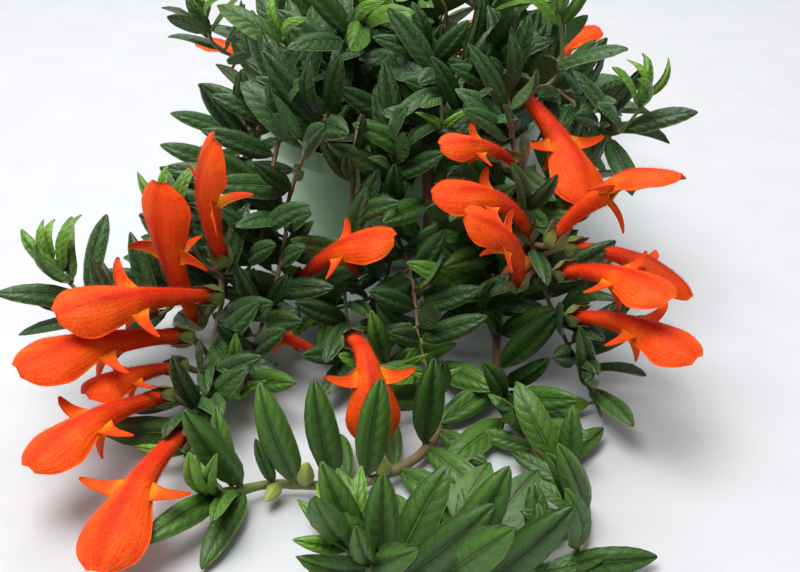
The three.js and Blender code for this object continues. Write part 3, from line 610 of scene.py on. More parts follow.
def ramp(tree, value, low, high, first=0.0, second=1.0):
    limits = {0: value, 1: low, 2: high, 3: first, 4: second}
    return addNode(tree, "ShaderNodeMapRange", limits, interpolation_type="SMOOTHSTEP").outputs["Result"]


def sums(tree, operation, first, second=0.5, third=0.5):
    return addNode(tree, "ShaderNodeMath", {0: first, 1: second, 2: third}, operation=operation).outputs[0]


def times(tree, first, second):
    return sums(tree, "MULTIPLY", first, second)


def reads(tree, name):
    return addNode(tree, "ShaderNodeAttribute", attribute_name=name).outputs["Fac"]


def noisy(tree, scale, detail=3.0, roughness=0.55):
    # noise on Object coordinates, in features per metre
    where = addNode(tree, "ShaderNodeTexCoord").outputs["Object"]
    settings = {"Vector": where, "Scale": scale, "Detail": detail, "Roughness": roughness}
    return socketOf(addNode(tree, "ShaderNodeTexNoise", settings).outputs, 0)


def bumped(tree, shader, height, distance, strength=1.0):
    bump = addNode(tree, "ShaderNodeBump", {"Height": height, "Distance": distance, "Strength": strength})
    tree.links.new(bump.outputs["Normal"], shader.inputs["Normal"])


leafColours = {
    "dark": "1c3013", "mid": "335523", "shade": "14240e", "lit": "3e6e31", "young": "92c044",
    "youngDark": "417a28", "under": "56783f", "midrib": "6f9c4b", "creaseShade": "10200c", "margin": "84965c",
    "vein": "1a3214", "down": "93a67c", "sheen": "dcebe2",
}
leafSurface = {
    "veins": 7.5, "veinSlant": 0.19, "veinWobble": 0.5, "wobbleScale": 160,
    "mottleScale": 420, "patchScale": 60, "pitScale": 1500,   # features in a metre
    # shares of the depth of the relief, which is in metres
    "pillow": 0.26, "rib": -0.8, "pits": 0.42, "mottle": 0.35, "depth": 0.0006,
    "downAndSheenOnOld": 0.24, "downAndSheenOnYoung": 0.02,
}


def leafFinish():
    look, surface = {key: colour(code) for key, code in leafColours.items()}, leafSurface
    finish, tree, shader = newFinish(
        "leaf_skin", Roughness=0.36, Specular_IOR_Level=0.33, Sheen_Weight=0.03, Sheen_Roughness=0.35
    )
    shader.inputs["Sheen Tint"].default_value = look["sheen"]
    flat = addNode(tree, "ShaderNodeUVMap", uv_map="UVMap")
    split = addNode(tree, "ShaderNodeSeparateXYZ", {"Vector": flat.outputs["UV"]})
    across, along = split.outputs["X"], split.outputs["Y"]
    # 0 on the midrib and 1 at the margin
    aside = sums(tree, "ABSOLUTE", sums(tree, "MULTIPLY_ADD", across, 2.0, -1.0))
    youth, tone, under = reads(tree, "youth"), reads(tree, "tone"), reads(tree, "under")

    # side veins run from the midrib forwards to the margin
    slant = times(tree, aside, surface["veinSlant"])
    phase = times(tree, sums(tree, "SUBTRACT", along, slant), surface["veins"])
    wobble = times(tree, noisy(tree, surface["wobbleScale"]), surface["veinWobble"])
    vein = sums(tree, "PINGPONG", sums(tree, "ADD", phase, wobble), 0.5)
    pillow = ramp(tree, vein, 0.0, 0.4)
    vein = times(tree, ramp(tree, vein, 0.0, 0.12, 1.0, 0.0), ramp(tree, aside, 0.95, 0.6))
    rib = ramp(tree, aside, 0.02, 0.07, 1.0, 0.0)
    # painted shade: the colour darkens in the sunken groove beside the midrib
    creaseShade = sums(tree, "SUBTRACT", ramp(tree, aside, 0.05, 0.26, 1.0, 0.0), rib)
    margin = ramp(tree, aside, 0.93, 0.99)
    mottle = noisy(tree, surface["mottleScale"], 4)
    patches, pits = noisy(tree, surface["patchScale"], 2), noisy(tree, surface["pitScale"], 2)

    base = mixed(tree, tone, look["dark"], look["mid"])
    base = mixed(tree, ramp(tree, mottle, 0.35, 0.75, 0.0, 0.5), base, look["shade"])
    base = mixed(tree, ramp(tree, patches, 0.45, 0.75, 0.0, 0.35), base, look["mid"])
    # painted light: the middle of each domed half is lighter, as where it meets the light
    middle = times(tree, ramp(tree, aside, 0.1, 0.45), ramp(tree, aside, 0.98, 0.6))
    base = mixed(tree, times(tree, middle, 0.5), base, look["lit"])
    fresh = mixed(tree, mottle, look["youngDark"], look["young"])
    base = mixed(tree, youth, base, fresh)
    # painted shade: the sunken side veins are darkened in the colour
    base = mixed(tree, times(tree, vein, 0.3), base, look["vein"])
    base = mixed(tree, times(tree, creaseShade, 0.45), base, look["creaseShade"])
    ribShown = times(tree, rib, ramp(tree, along, 0.0, 0.9, 0.75, 0.1))
    base = mixed(tree, ribShown, base, look["midrib"])
    base = mixed(tree, times(tree, margin, 0.5), base, look["margin"])
    base = mixed(tree, ramp(tree, under, 0.0, 0.06, 0.0, 0.85), base, look["under"])
    # pale down on the pits, with a painted greyish sheen over it: old leaves get more than young ones
    downAndSheen = ramp(tree, youth, 0.0, 0.2, surface["downAndSheenOnOld"], surface["downAndSheenOnYoung"])
    base = mixed(tree, times(tree, ramp(tree, pits, 0.42, 0.7), downAndSheen), base, look["down"])
    tree.links.new(base, shader.inputs["Base Color"])
    height = sums(tree, "MULTIPLY_ADD", pillow, surface["pillow"], times(tree, rib, surface["rib"]))
    height = sums(tree, "ADD", height, times(tree, pits, surface["pits"]))
    height = sums(tree, "ADD", height, times(tree, mottle, surface["mottle"]))
    bumped(tree, shader, height, surface["depth"], 0.85)
    tree.links.new(ramp(tree, mottle, 0.3, 0.8, 0.28, 0.44), shader.inputs["Roughness"])
    return finish


stemColours = {
    "red": ("7a5a48", "96705c"), "green": ("5c7038", "7f8f4a"), "bark": ("6d4a30", "a87c52"),
    "cracks": "4a3526",
}


def stemFinish():
    look = stemColours
    finish, tree, shader = newFinish("stem_bark", Roughness=0.55)
    reach, wood = reads(tree, "reach"), reads(tree, "wood")
    grain = noisy(tree, 500, 4)
    patches = noisy(tree, 90, 2)
    red, green = (mixed(tree, patches, *map(colour, look[key])) for key in ("red", "green"))
    base = mixed(tree, ramp(tree, reach, 0.55, 1.0), red, green)
    base = mixed(tree, wood, base, mixed(tree, grain, *map(colour, look["bark"])))
    base = mixed(tree, ramp(tree, grain, 0.55, 0.8, 0.0, 0.5), base, colour(look["cracks"]))
    tree.links.new(base, shader.inputs["Base Color"])
    bumped(tree, shader, grain, 0.0004, 0.7)
    return finish


petalColours = {
    "tube": "f23a08", "hood": "ff500a", "patches": "ff6a12", "streaks": "ea3406", "freckles": "c92404",
    "ridge": "cf2404", "glow": "ffb020",
}


def petalFinish():
    look = {key: colour(code) for key, code in petalColours.items()}
    finish, tree, shader = newFinish(
        "petal", Roughness=0.6, Subsurface_Weight=0.2, Subsurface_Scale=0.003,
        Subsurface_Radius=(1.0, 0.3, 0.05), Specular_IOR_Level=0.18,
    )
    reach, glow, ridge = reads(tree, "reach"), reads(tree, "glow"), reads(tree, "ridge")
    patches, fine = noisy(tree, 110, 3), noisy(tree, 1000, 3)
    # streaks run along the flower
    flat = addNode(tree, "ShaderNodeUVMap", uv_map="UVMap").outputs["UV"]
    drawn = addNode(tree, "ShaderNodeMapping", {"Vector": flat, "Scale": (24.0, 2.5, 1.0)})
    streaks = addNode(tree, "ShaderNodeTexNoise", {"Vector": drawn, "Scale": 1.0, "Detail": 2.0})
    streaks = socketOf(streaks.outputs, 0)
    base = mixed(tree, ramp(tree, reach, 0.3, 0.75), look["tube"], look["hood"])
    base = mixed(tree, ramp(tree, patches, 0.4, 0.7, 0.0, 0.8), base, look["patches"])
    base = mixed(tree, times(tree, ramp(tree, streaks, 0.48, 0.7), 0.45), base, look["streaks"])
    base = mixed(tree, times(tree, ramp(tree, fine, 0.52, 0.72), 0.5), base, look["freckles"])
    base = mixed(tree, times(tree, ridge, 0.85), base, look["ridge"])
    base = mixed(tree, glow, base, look["glow"])
    tree.links.new(base, shader.inputs["Base Color"])
    height = sums(tree, "MULTIPLY_ADD", streaks, 0.8, times(tree, fine, 0.7))
    bumped(tree, shader, height, 0.0007, 0.75)
    return finish


calyxColours = {"green": ("5f6c2c", "8d9a45"), "tips": "7a3a22"}


def calyxFinish():
    look = calyxColours
    finish, tree, shader = newFinish("calyx", Roughness=0.5, Sheen_Weight=0.15)
    reach = reads(tree, "reach")
    patches = noisy(tree, 300, 3)
    base = mixed(tree, patches, *map(colour, look["green"]))
    tips = times(tree, ramp(tree, reach, 0.45, 1.0), ramp(tree, patches, 0.2, 0.6))
    base = mixed(tree, tips, base, colour(look["tips"]))
    tree.links.new(base, shader.inputs["Base Color"])
    bumped(tree, shader, noisy(tree, 1300, 3), 0.0004, 0.6)
    return finish


# a bud's colours from its foot to its tip, as it ripens
budColours = {"green": ("7d8f35", "aab653"), "red": ("93401c", "a8401a"), "orange": ("c98a2c", "f0701e")}


def budFinish():
    finish, tree, shader = newFinish("bud", Roughness=0.45, Sheen_Weight=0.15)
    ripe, reach = reads(tree, "ripe"), reads(tree, "reach")
    green, red, orange = (mixed(tree, reach, *map(colour, pair)) for pair in budColours.values())
    base = mixed(tree, ramp(tree, ripe, 0.1, 0.6), green, red)
    base = mixed(tree, ramp(tree, ripe, 0.7, 1.0), base, orange)
    tree.links.new(base, shader.inputs["Base Color"])
    bumped(tree, shader, noisy(tree, 900, 3), 0.0004, 0.6)
    return finish


def plainFinish(name, look, scale, roughness, depth=0.0003):
    # two colours in a fine grain
    finish, tree, shader = newFinish(name, Roughness=roughness)
    grain = noisy(tree, scale, 4)
    base = mixed(tree, ramp(tree, grain, 0.3, 0.7), *map(colour, look))
    tree.links.new(base, shader.inputs["Base Color"])
    bumped(tree, shader, grain, depth, 0.6)
    return finish


leafSkin, stemBark, petalSkin = leafFinish(), stemFinish(), petalFinish()
calyxSkin, budSkin = calyxFinish(), budFinish()
fuzzColours = {"leaf_hair": ("c9c6ae", "e6e2cf"), "petal_hair": ("c22c10", "ea5a30")}
leafFuzz, petalFuzz = (plainFinish(name, look, 300, 0.6) for name, look in fuzzColours.items())
print("finishes ready")


# a leafy stem: tubes along its lines, and a blade on each leaf's point

def stemTree():
    tree, start, end = newTree(
        "leafy_stem", Blades="Collection", Tube_Sides="Int", Bark_Depth="Float", Lowest="Float",
        Stem_Finish="Material", Leaf_Finish="Material",
    )
    given = start.outputs
    lines = addNode(tree, "GeometryNodeMeshToCurve", {"Mesh": given["Geometry"]})
    ring = addNode(
        tree, "GeometryNodeCurvePrimitiveCircle", {"Resolution": given["Tube Sides"], "Radius": 1.0}
    )
    tubes = addNode(
        tree, "GeometryNodeCurveToMesh",
        {"Curve": lines, "Profile Curve": ring, "Fill Caps": True, "Scale": named(tree, "thickness")},
    )
    tubes = addNode(tree, "GeometryNodeSetShadeSmooth", {"Geometry": tubes, "Shade Smooth": True})
    grain = addNode(tree, "ShaderNodeTexNoise", {"Scale": 260.0, "Detail": 2.0})
    lift = times(tree, sums(tree, "SUBTRACT", socketOf(grain.outputs, 0), 0.5), given["Bark Depth"])
    normal = addNode(tree, "GeometryNodeInputNormal").outputs["Normal"]
    offset = addNode(tree, "ShaderNodeVectorMath", {0: normal, "Scale": lift}, operation="SCALE")
    offset = offset.outputs["Vector"]
    tubes = addNode(tree, "GeometryNodeSetPosition", {"Geometry": tubes, "Offset": offset})
    skin = {"Geometry": tubes, "Material": given["Stem Finish"]}
    tubes = addNode(tree, "GeometryNodeSetMaterial", skin)
    fuzz = {"Geometry": tubes, "Name": "fuzz", "Value": 0.5}
    tubes = addNode(tree, "GeometryNodeStoreNamedAttribute", fuzz)
    kinds = addNode(
        tree, "GeometryNodeCollectionInfo",
        {"Collection": given["Blades"], "Separate Children": True, "Reset Children": True},
    )
    leafy = addNode(
        tree, "FunctionNodeCompare", {"A": named(tree, "leafy"), "B": 0.5}, operation="GREATER_THAN"
    )
    leaves = addNode(
        tree, "GeometryNodeInstanceOnPoints",
        {
            "Points": given["Geometry"], "Selection": leafy.outputs["Result"],
            "Instance": kinds, "Pick Instance": True, "Instance Index": named(tree, "blade", "INT"),
            "Rotation": named(tree, "turn", "QUATERNION"), "Scale": named(tree, "size", "FLOAT_VECTOR"),
        },
    )
    leaves = addNode(tree, "GeometryNodeRealizeInstances", {"Geometry": leaves})
    skin = {"Geometry": leaves, "Material": given["Leaf Finish"]}
    leaves = addNode(tree, "GeometryNodeSetMaterial", skin)
    both = addNode(tree, "GeometryNodeJoinGeometry", {"Geometry": leaves})
    tree.links.new(socketOf(tubes.outputs, 0), both.inputs["Geometry"])
    # what would reach under the table lies flat on it
    place = addNode(tree, "GeometryNodeInputPosition")
    place = addNode(tree, "ShaderNodeSeparateXYZ", {"Vector": place}).outputs
    height = sums(tree, "MAXIMUM", place["Z"], given["Lowest"])
    lifted = addNode(tree, "ShaderNodeCombineXYZ", {"X": place["X"], "Y": place["Y"], "Z": height})
    both = addNode(tree, "GeometryNodeSetPosition", {"Geometry": both, "Position": lifted})
    tree.links.new(both.outputs["Geometry"], end.inputs["Geometry"])
    return tree


# Unit blades: length and width are 1, and the arch of the middle line is 1 high. Rows give a share
# of the length and of the full width, columns a share of the half width and a lift.
bladeLook = {
    "rows": (
        (0, 0.07), (0.045, 0.2), (0.11, 0.52), (0.22, 0.83), (0.38, 0.99), (0.55, 0.99), (0.71, 0.87),
        (0.84, 0.64), (0.93, 0.38), (0.98, 0.19), (1, 0.03),
    ),
    "columns": ((-1, -1.0), (-0.82, 0.05), (-0.42, 0.5), (0, -0.4), (0.42, 0.5), (0.82, 0.05), (1, -1.0)),
    "plainRows": ((0, 0.08), (0.1, 0.5), (0.28, 0.91), (0.52, 1.0), (0.75, 0.82), (0.92, 0.42), (1, 0.04)),
    "plainColumns": ((-1, -0.9), (-0.55, 0.45), (0, -0.35), (0.55, 0.45), (1, -0.9)),
    "keelDepth": 0.75,
    "arch": (1.4, 2.6),   # millimetres, the least and most
    "droopFrom": 0.45, "droop": 3.3,
    "hookFrom": 0.8, "hook": 5.0,
    # droop of the tip, sideways bend, twist and wave of the margins
    "kinds": (
        (0.3, 0.0, 0.0, 0.0), (0.9, 0.12, 0.35, 0.1), (0.5, -0.14, -0.45, 0.12), (1.3, 0.05, 0.2, 0.16),
        (0.4, -0.06, 0.5, 0.08),
    ),
    "youngKinds": ((2.4, 0.1, 0.0, 0.05), (2.0, -0.12, 0.3, 0.05)),
    "plainKinds": (
        (0.5, 0.05, 0.2, 0.1), (1.0, -0.1, -0.3, 0.0), (0.2, 0.12, -0.2, 0.1), (1.5, -0.03, 0.3, 0.0),
    ),
}


def bladeShape(rows, columns, droop, bend, twist, wave):
    look = bladeLook
    share, half = (np.array(values)[:, None] for values in zip(*rows))
    u, lift = (np.array(values)[None, :] for values in zip(*columns))
    half = half / 2
    full = np.minimum(1, half / 0.35)
    x = share + 0 * u
    y = half * u + bend * share * share * (1.2 - share)
    z = 4 * share * (1 - share) + lift * full
    z = z - droop * np.clip(share - look["droopFrom"], 0, 1) ** 2 * look["droop"]
    z = z + twist * u * share * full + wave * np.sin(9 * share + 2 * u) * np.abs(u) ** 2 * full
    z = z - look["hook"] * np.clip(share - look["hookFrom"], 0, 1) ** 1.5 * (0.4 + droop)
    top = np.stack([x, y, z], axis=-1)
    count, wide = len(rows), len(columns)
    keel = top[:, wide // 2].copy()
    keel[:, 2] -= look["keelDepth"] * np.minimum(1, half[:, 0] / 0.2 + 0.35)
    faces = [face[::-1] for face in stripFaces(count, wide)]
    under = count * wide
    for i in range(count - 1):
        a, b = i * wide, (i + 1) * wide
        faces.append((a, b, under + i + 1, under + i))
        faces.append((a + wide - 1, under + i, under + i + 1, b + wide - 1))
    faces.append(tuple(range(wide)) + (under,))
    faces.append((under + count - 1,) + tuple(range(under - 1, under - wide - 1, -1)))
    uv = np.stack([(u + 1) / 2 + 0 * share, x], axis=-1).reshape(-1, 2)
    uv = np.vstack([uv, np.stack([np.full(count, 0.5), share[:, 0]], axis=-1)])
    places = np.vstack([top.reshape(-1, 3), keel])
    below = np.repeat([0.0, 1.0], [under, count])
    fuzz = np.concatenate([(np.abs(u) + 0 * share > 0.99).ravel(), np.zeros(count)])
    shape = Shape()
    shape.add(places, faceOut(places, faces), uv=uv, under=below, fuzz=fuzz)
    return shape


# the collection holds the kinds in this order: mature, young, plain
blades = bpy.data.collections.new("blades")
bladeKinds = {}
for key in ("kinds", "youngKinds", "plainKinds"):
    rows, columns = ("plainRows", "plainColumns") if key == "plainKinds" else ("rows", "columns")
    bladeKinds[key] = []
    for kind in bladeLook[key]:
        place = len(blades.objects)
        shape = bladeShape(bladeLook[rows], bladeLook[columns], *kind)
        blade = shape.toObject(f"blade_{place:02d}", [leafSkin])
        blade.data.transform(Matrix.Scale(1 / mm, 4))
        collection.objects.unlink(blade)
        blades.objects.link(blade)
        bladeKinds[key].append(place)


class StemHost:
    # lines for tubes and points for leaves, with the values that the tree reads
    def __init__(self):
        self.places, self.edges, self.rows = [], [], []

    def addLine(self, line, radius, reach, wood):
        first = len(self.places)
        for place, r, share, bark in zip(line, radius, reach, np.broadcast_to(wood, len(line))):
            self.places.append(place * mm)
            self.rows.append((r * mm, share, bark, 0.0, 0, (1, 0, 0, 0), (1, 1, 1), 0.0, 0.5))
        self.edges += [(first + i, first + i + 1) for i in range(len(line) - 1)]

    def addLeaf(self, leaf, kind, youth, tone):
        way, face = leaf["way"], leaf["face"]
        axes = Matrix(np.stack([way, np.cross(face, way), face], axis=1).tolist())
        arch = float(np.clip(leaf["bow"], *bladeLook["arch"]))
        size = (leaf["length"] * mm, leaf["width"] * mm, arch * mm)
        self.places.append(leaf["root"] * mm)
        self.rows.append((0.0, 0.0, 0.0, 1.0, kind, tuple(axes.to_quaternion()), size, youth, tone))

    def toObject(self, name):
        mesh = bpy.data.meshes.new(name)
        mesh.from_pydata([tuple(p) for p in self.places], self.edges, [])
        layers = (
            ("thickness", "FLOAT"), ("reach", "FLOAT"), ("wood", "FLOAT"), ("leafy", "FLOAT"),
            ("blade", "INT"), ("turn", "QUATERNION"), ("size", "FLOAT_VECTOR"), ("youth", "FLOAT"),
            ("tone", "FLOAT"),
        )
        for i, (key, kind) in enumerate(layers):
            layer = mesh.attributes.new(key, kind, "POINT")
            dtype = np.int32 if kind == "INT" else np.float32
            flat = np.array([row[i] for row in self.rows], dtype).ravel()
            layer.data.foreach_set("vector" if kind == "FLOAT_VECTOR" else "value", flat)
        made = bpy.data.objects.new(name, mesh)
        collection.objects.link(made)
        return made


leafyStem = stemTree()
draw = np.random.default_rng(7)


def addLeafTo(host, leaf, own, plain=False, fresh=0.0):
    # a leaf's blade and its stalk, and the swelling of the stem where it grows
    look, length = leafLook, leaf["length"]
    stem, distance = nearestOf(own, leaf["root"])
    place = stem.at(distance)[0]
    near = np.exp(-(((stem.along - distance) / stemLook["nodeReach"]) ** 2))
    swelling = stemLook["nodeSwelling"] * near * (length > look["nodeLength"]) * stemLook["nodeShare"]
    stem.radius = stem.radius * (1 + swelling)
    toEnd = stem.reach - distance
    youth = float(np.clip(1.15 - toEnd / look["youngReach"], 0, 1))
    youth *= 1 if length < look["youngLength"] else 0.5
    tone = float(draw.random())
    kinds = bladeKinds["plainKinds" if plain else "youngKinds" if youth > 0.5 else "kinds"]
    host.addLeaf(leaf, int(draw.choice(kinds)), max(youth, fresh * (0.3 + 0.7 * tone)), tone)
    least, more, reach = look["stalk"]
    stalk = np.stack([place, leaf["root"], leaf["root"] + leaf["way"] * reach * length])
    thin = least + more * length
    host.addLine(stalk, (1.3 * thin, 1.1 * thin, 0.8 * thin), (0.8, 0.9, 1.0), 0.0)


# flowers: each one's middle line runs from its calyx to the tip of its hood

bloomLook = {
    "length": 75, "wall": 0.8, "columns": 25, "rows": 44,
    # share of the length, half width, ridge and edge heights
    "hood": (
        (0.0, 1.7, 1.7, 0.0), (0.085, 2.1, 2.1, 0.0), (0.3, 3.2, 3.1, 0.0), (0.5, 4.8, 4.4, -0.1),
        (0.63, 8.2, 5.2, -0.8), (0.74, 11.2, 5.0, -1.9), (0.82, 12.7, 4.3, -2.5), (0.88, 12.0, 3.4, -2.5),
        (0.945, 9.0, 2.1, -2.1), (1.0, 3.6, 0.5, -1.0),
    ),
    "opening": (0.49, 0.6),                # where the tube opens into the hood, in shares of the length
    "crest": 0.55, "crestWidth": 0.09, "roofCurve": 1.8,
    "wave": (0.35, 31), "pucker": (0.35, 17),   # height and how fast it comes again along the hood
    # the side lobes: share of the length where they grow, and their course from there
    "finRoot": 0.56, "finStart": 1.5, "finReach": 21, "finLift": 3, "finCurl": 2.2, "finBack": 1.5,
    "finWidths": (9.5, 8.2, 6.4, 4.8, 3.4, 1.2), "finCup": 0.22,
    "lipStart": 2, "lipReach": 17, "lipWidths": (6.5, 5.6, 5.0, 4.2, 3.0, 1.2), "lipCup": 0.25,
    "strapWall": 0.75, "strapColumns": 9, "strapRows": 14,
    # share of the length, height over the middle line
    "stamens": ((0.5, 0.5), (0.7, 1.6), (0.85, 1.0), (1.0, -0.9)),
    "stamenThick": 0.32, "stamenSides": 6, "stamenColours": ("e9a05a", "f3c07a"),
    "stalkThick": (1.1, 1.5), "stalkBend": 0.6, "stalkSag": 2,
}

# each flower's shoot, base, tip, the way its back faces, and how far it arches
blooms = {
    "bloom_left_upright": (
        "shoot_left_flowering", (-71, -121, 51), (-66, -140, 115), (-1, -0.5, 0.2), 0.08,
    ),
    "bloom_left_behind_tip": (
        "shoot_left_flowering", (-84, -122, 20), (-92, -127, 91), (-0.6, -1, 0.2), 0.08,
    ),
    "bloom_left_wide": ("shoot_left_flowering", (-73, -128, 39), (-124, -173, 61), (0, -0.5, 1), 0.06),
    "bloom_left_second": ("shoot_left_low", (-84, -140, 27), (-136, -188, 48), (-0.2, -0.4, 1), 0.08),
    "bloom_left_third": ("shoot_left_low", (-87, -147, 18), (-115, -184, 33), (-0.2, -0.4, 1), 0.06),
    "bloom_left_fourth": ("shoot_left_low", (-89, -165, 17), (-126, -219, 30), (-0.2, -0.3, 1), 0.1),
    "bloom_left_front": ("shoot_left_low", (-80, -182, 14), (-97, -252, 16), (-0.1, -0.2, 1), 0.12),
    "bloom_centre_side": ("shoot_left_droop", (-44, -108, 30), (-2, -127, 66), (-0.5, -0.2, 1), 0.14),
    "bloom_low_behind": ("shoot_low_centre", (-31, -138, 16), (-56, -122, 14), (0, -0.5, 1), 0.2),
    "bloom_centre_facing": ("shoot_low_centre", (-20, -146, 30), (-9, -190, 14), (0.2, -0.5, 1), 0.45),
    "bloom_right_inner": ("shoot_right_droop", (52, -117, 60), (12, -132, 88), (0.3, -0.3, 1), 0.24),
    "bloom_right_turned": ("shoot_right_droop", (45, -139, 51), (23, -153, 91), (0.9, -0.3, 0.5), 0.22),
    "bloom_right_large": ("shoot_woody_right", (51, -50, 97), (77, -113, 73), (0.3, -0.4, 1), 0.08),
    "bloom_right_open": ("shoot_right_droop", (59, -130, 64), (100, -151, 105), (-0.4, 0.6, 0.8), 0.16),
    "bloom_right_low": ("shoot_right_droop", (63, -134, 54), (94, -180, 72), (0.1, -0.4, 1), 0.1),
    "bloom_right_lowest": ("shoot_right_droop", (67, -144, 40), (104, -190, 54), (0.1, -0.3, 1), 0.1),
    "bloom_right_behind": ("shoot_right_droop", (68, -114, 54), (113, -145, 50), (0.3, 0.1, 1), 0.12),
    "bloom_right_shaded": ("shoot_right_droop", (46, -103, 86), (15, -121, 103), (0, -0.5, 1), 0.15),
    "bloom_back": ("shoot_back", (20, 104, 40), (48, 150, 60), (0, 0.4, 1), 0.1),
    "bloom_back_left": ("shoot_back_left", (-70, 82, 44), (-118, 104, 64), (-0.2, 0.3, 1), 0.1),
    "bloom_back_right": ("shoot_back_right", (78, 78, 46), (116, 116, 68), (0.2, 0.3, 1), 0.1),
}


class BloomLine:
    # the flower's middle line with its frame at any share of the length
    def __init__(self, base, tip, back, arch):
        base, tip, back = (np.array(v, float) for v in (base, tip, back))
        axis = unit(tip - base)
        outer = squareTo(back, axis)
        bend = base + 0.45 * (tip - base) + outer * 1.6 * arch * np.linalg.norm(tip - base)
        t = np.linspace(0, 1, 401)[:, None]
        self.curve = (1 - t) ** 2 * base + 2 * t * (1 - t) * bend + t * t * tip
        steps = np.linalg.norm(np.diff(self.curve, axis=0), axis=1)
        self.along = np.concatenate([[0], np.cumsum(steps)])
        self.along /= self.along[-1]
        self.size = steps.sum() / bloomLook["length"]
        self.side = np.cross(axis, outer)
        self.ways = unit(np.gradient(self.curve, axis=0))

    def frame(self, share):
        share = np.asarray(share, float)
        middle, forward = (
            np.stack([np.interp(share, self.along, v[:, k]) for k in range(3)], axis=-1)
            for v in (self.curve, self.ways)
        )
        rise = unit(np.cross(self.side, forward))
        return middle, forward, rise, self.side

    def place(self, share, x, y, ahead=0.0):
        middle, forward, rise, side = self.frame(share)
        x, y, ahead = (np.asarray(v, float)[..., None] for v in (x, y, ahead))
        return middle + side * x + rise * y + forward * ahead


def addHood(shape, line, draw):
    look, size = bloomLook, line.size
    count, wide = look["rows"], look["columns"]
    share = (0.03 + 0.97 * np.linspace(0, 1, count) ** 0.9)[:, None]
    t = np.linspace(-1, 1, wide)[None, :]
    aside = np.abs(t)
    xs, *heights = zip(*look["hood"])
    half, ridge, edge = (throughPoints(share, xs, values) for values in heights)
    opened = smoothStep(share, *look["opening"])
    angle = math.pi * t * (wide - 1) / wide
    tube = np.stack([half * np.sin(angle), ridge * np.cos(angle)], axis=-1)
    crest = look["crest"] * np.exp(-((t / look["crestWidth"]) ** 2)) * smoothStep(share, 0.55, 0.7)
    roof = edge + (ridge - edge) * (1 - aside ** look["roofCurve"]) + crest
    spread = half * (t * (1.12 - 0.12 * t * t))
    high, often = look["wave"]
    wave = high * np.sin(share * often + draw.random() * 6 + t) * aside ** 3
    hood = np.stack([spread, roof + wave], axis=-1)
    both = tube * (1 - opened[..., None]) + hood * opened[..., None]
    high, often = look["pucker"]
    pucker = high * np.sin(share * often + 3 * t + draw.random() * 6) * (1 - aside) * opened
    grid = line.place(share + 0 * t, both[..., 0] * size, (both[..., 1] + pucker) * size)
    closedRows = int(np.searchsorted(share.ravel(), look["opening"][0] + 0.02))
    thin = look["wall"] * (1 - 0.55 * aside ** 6 * opened) * (1 - 0.5 * smoothStep(share, 0.93, 1.0))
    places, faces, skin = thickSheet(grid, thin, closedRows)
    again = lambda v: np.tile((v + 0 * t + 0 * share).ravel(), 2)
    # the inside glows yellow, and so does the margin beside the lobes
    glow = np.clip((1 - skin) * again(1.05 - 1.7 * smoothStep(share, 0.5, 0.95)), 0, 1)
    glow = glow + skin * again(0.5 * np.exp(-(((share - 0.57) / 0.07) ** 2)) * aside ** 3)
    ridgeTone = skin * again(np.exp(-((t / 0.22) ** 2)) * (1 - 0.5 * smoothStep(share, 0.7, 1)))
    fuzz = skin * again(0.35 + 0.65 * np.maximum(np.exp(-((t / 0.25) ** 2)), 1 - opened))
    uv = np.stack([(t + 1) / 2 + 0 * share, share + 0 * t], axis=-1).reshape(-1, 2)
    shape.add(
        places, faces, uv=np.tile(uv, (2, 1)), reach=again(share), glow=glow, ridge=ridgeTone, fuzz=fuzz
    )


def addStrap(shape, middles, across, widths, cup, glowEnd):
    # a lobe or lip: a thin strap through its middle line, cupped across
    look = bloomLook
    t = np.linspace(-1, 1, look["strapColumns"])
    way = unit(np.gradient(middles, axis=0))
    edge = squareTo(across, way)
    face = np.cross(edge, way)
    half = (np.asarray(widths) / 2)[:, None, None]
    lift = (-cup * (t ** 2))[None, :, None] * half
    grid = middles[:, None] + edge[:, None] * half * t[None, :, None] + face[:, None] * lift
    v = np.linspace(0, 1, len(middles))[:, None] + 0 * t
    thin = look["strapWall"] * (1 - 0.5 * np.abs(t) ** 4)[None, :] * (1 - 0.4 * v)
    places, faces = thickSheet(grid, thin)[:2]
    glow = np.tile((1 - smoothStep(v, 0.05, glowEnd)).ravel(), 2)
    uv = np.tile(np.stack([(t + 1) / 2 + 0 * v, 0.4 * v], axis=-1).reshape(-1, 2), (2, 1))
    tip = np.tile(v.ravel(), 2)
    shape.add(
        places, faces, uv=uv, reach=0.35 + 0.5 * tip, glow=glow * 0.85, ridge=0.25 * tip,
        fuzz=0.15 + 0 * tip,
    )


def strapWidths(widths, size):
    count = bloomLook["strapRows"]
    wide = throughPoints(np.linspace(0, 1, count), np.linspace(0, 1, len(widths)), widths)
    return wide * min(1.0, size * 1.1)


def addLobes(shape, line, draw):
    # the two side lobes and the lip
    look, size = bloomLook, line.size
    v = np.linspace(0, 1, look["strapRows"])
    root = np.full(len(v), look["finRoot"])
    forward = line.frame(look["finRoot"])[1]
    for hand in (-1, 1):
        curl = look["finCurl"] + look["finCurl"] * draw.random()
        back = look["finBack"] * draw.random()
        x = hand * (look["finStart"] + (look["finReach"] - look["finStart"]) * v) * size
        y = look["finLift"] * v * v + curl * np.sin(math.pi * v) * 0.35 - 0.6
        ahead = v + 2.2 * np.sin(math.pi * v) - back * v * v
        middles = line.place(root, x, y, ahead)
        addStrap(shape, middles, forward * hand, strapWidths(look["finWidths"], size), look["finCup"], 0.5)
    y = -(look["lipStart"] + look["lipReach"] * v) * size
    middles = line.place(root, 0 * v, y, -3 + 7.5 * v * (1 - v) + v)
    addStrap(shape, middles, line.side, strapWidths(look["lipWidths"], size), look["lipCup"], 0.55)


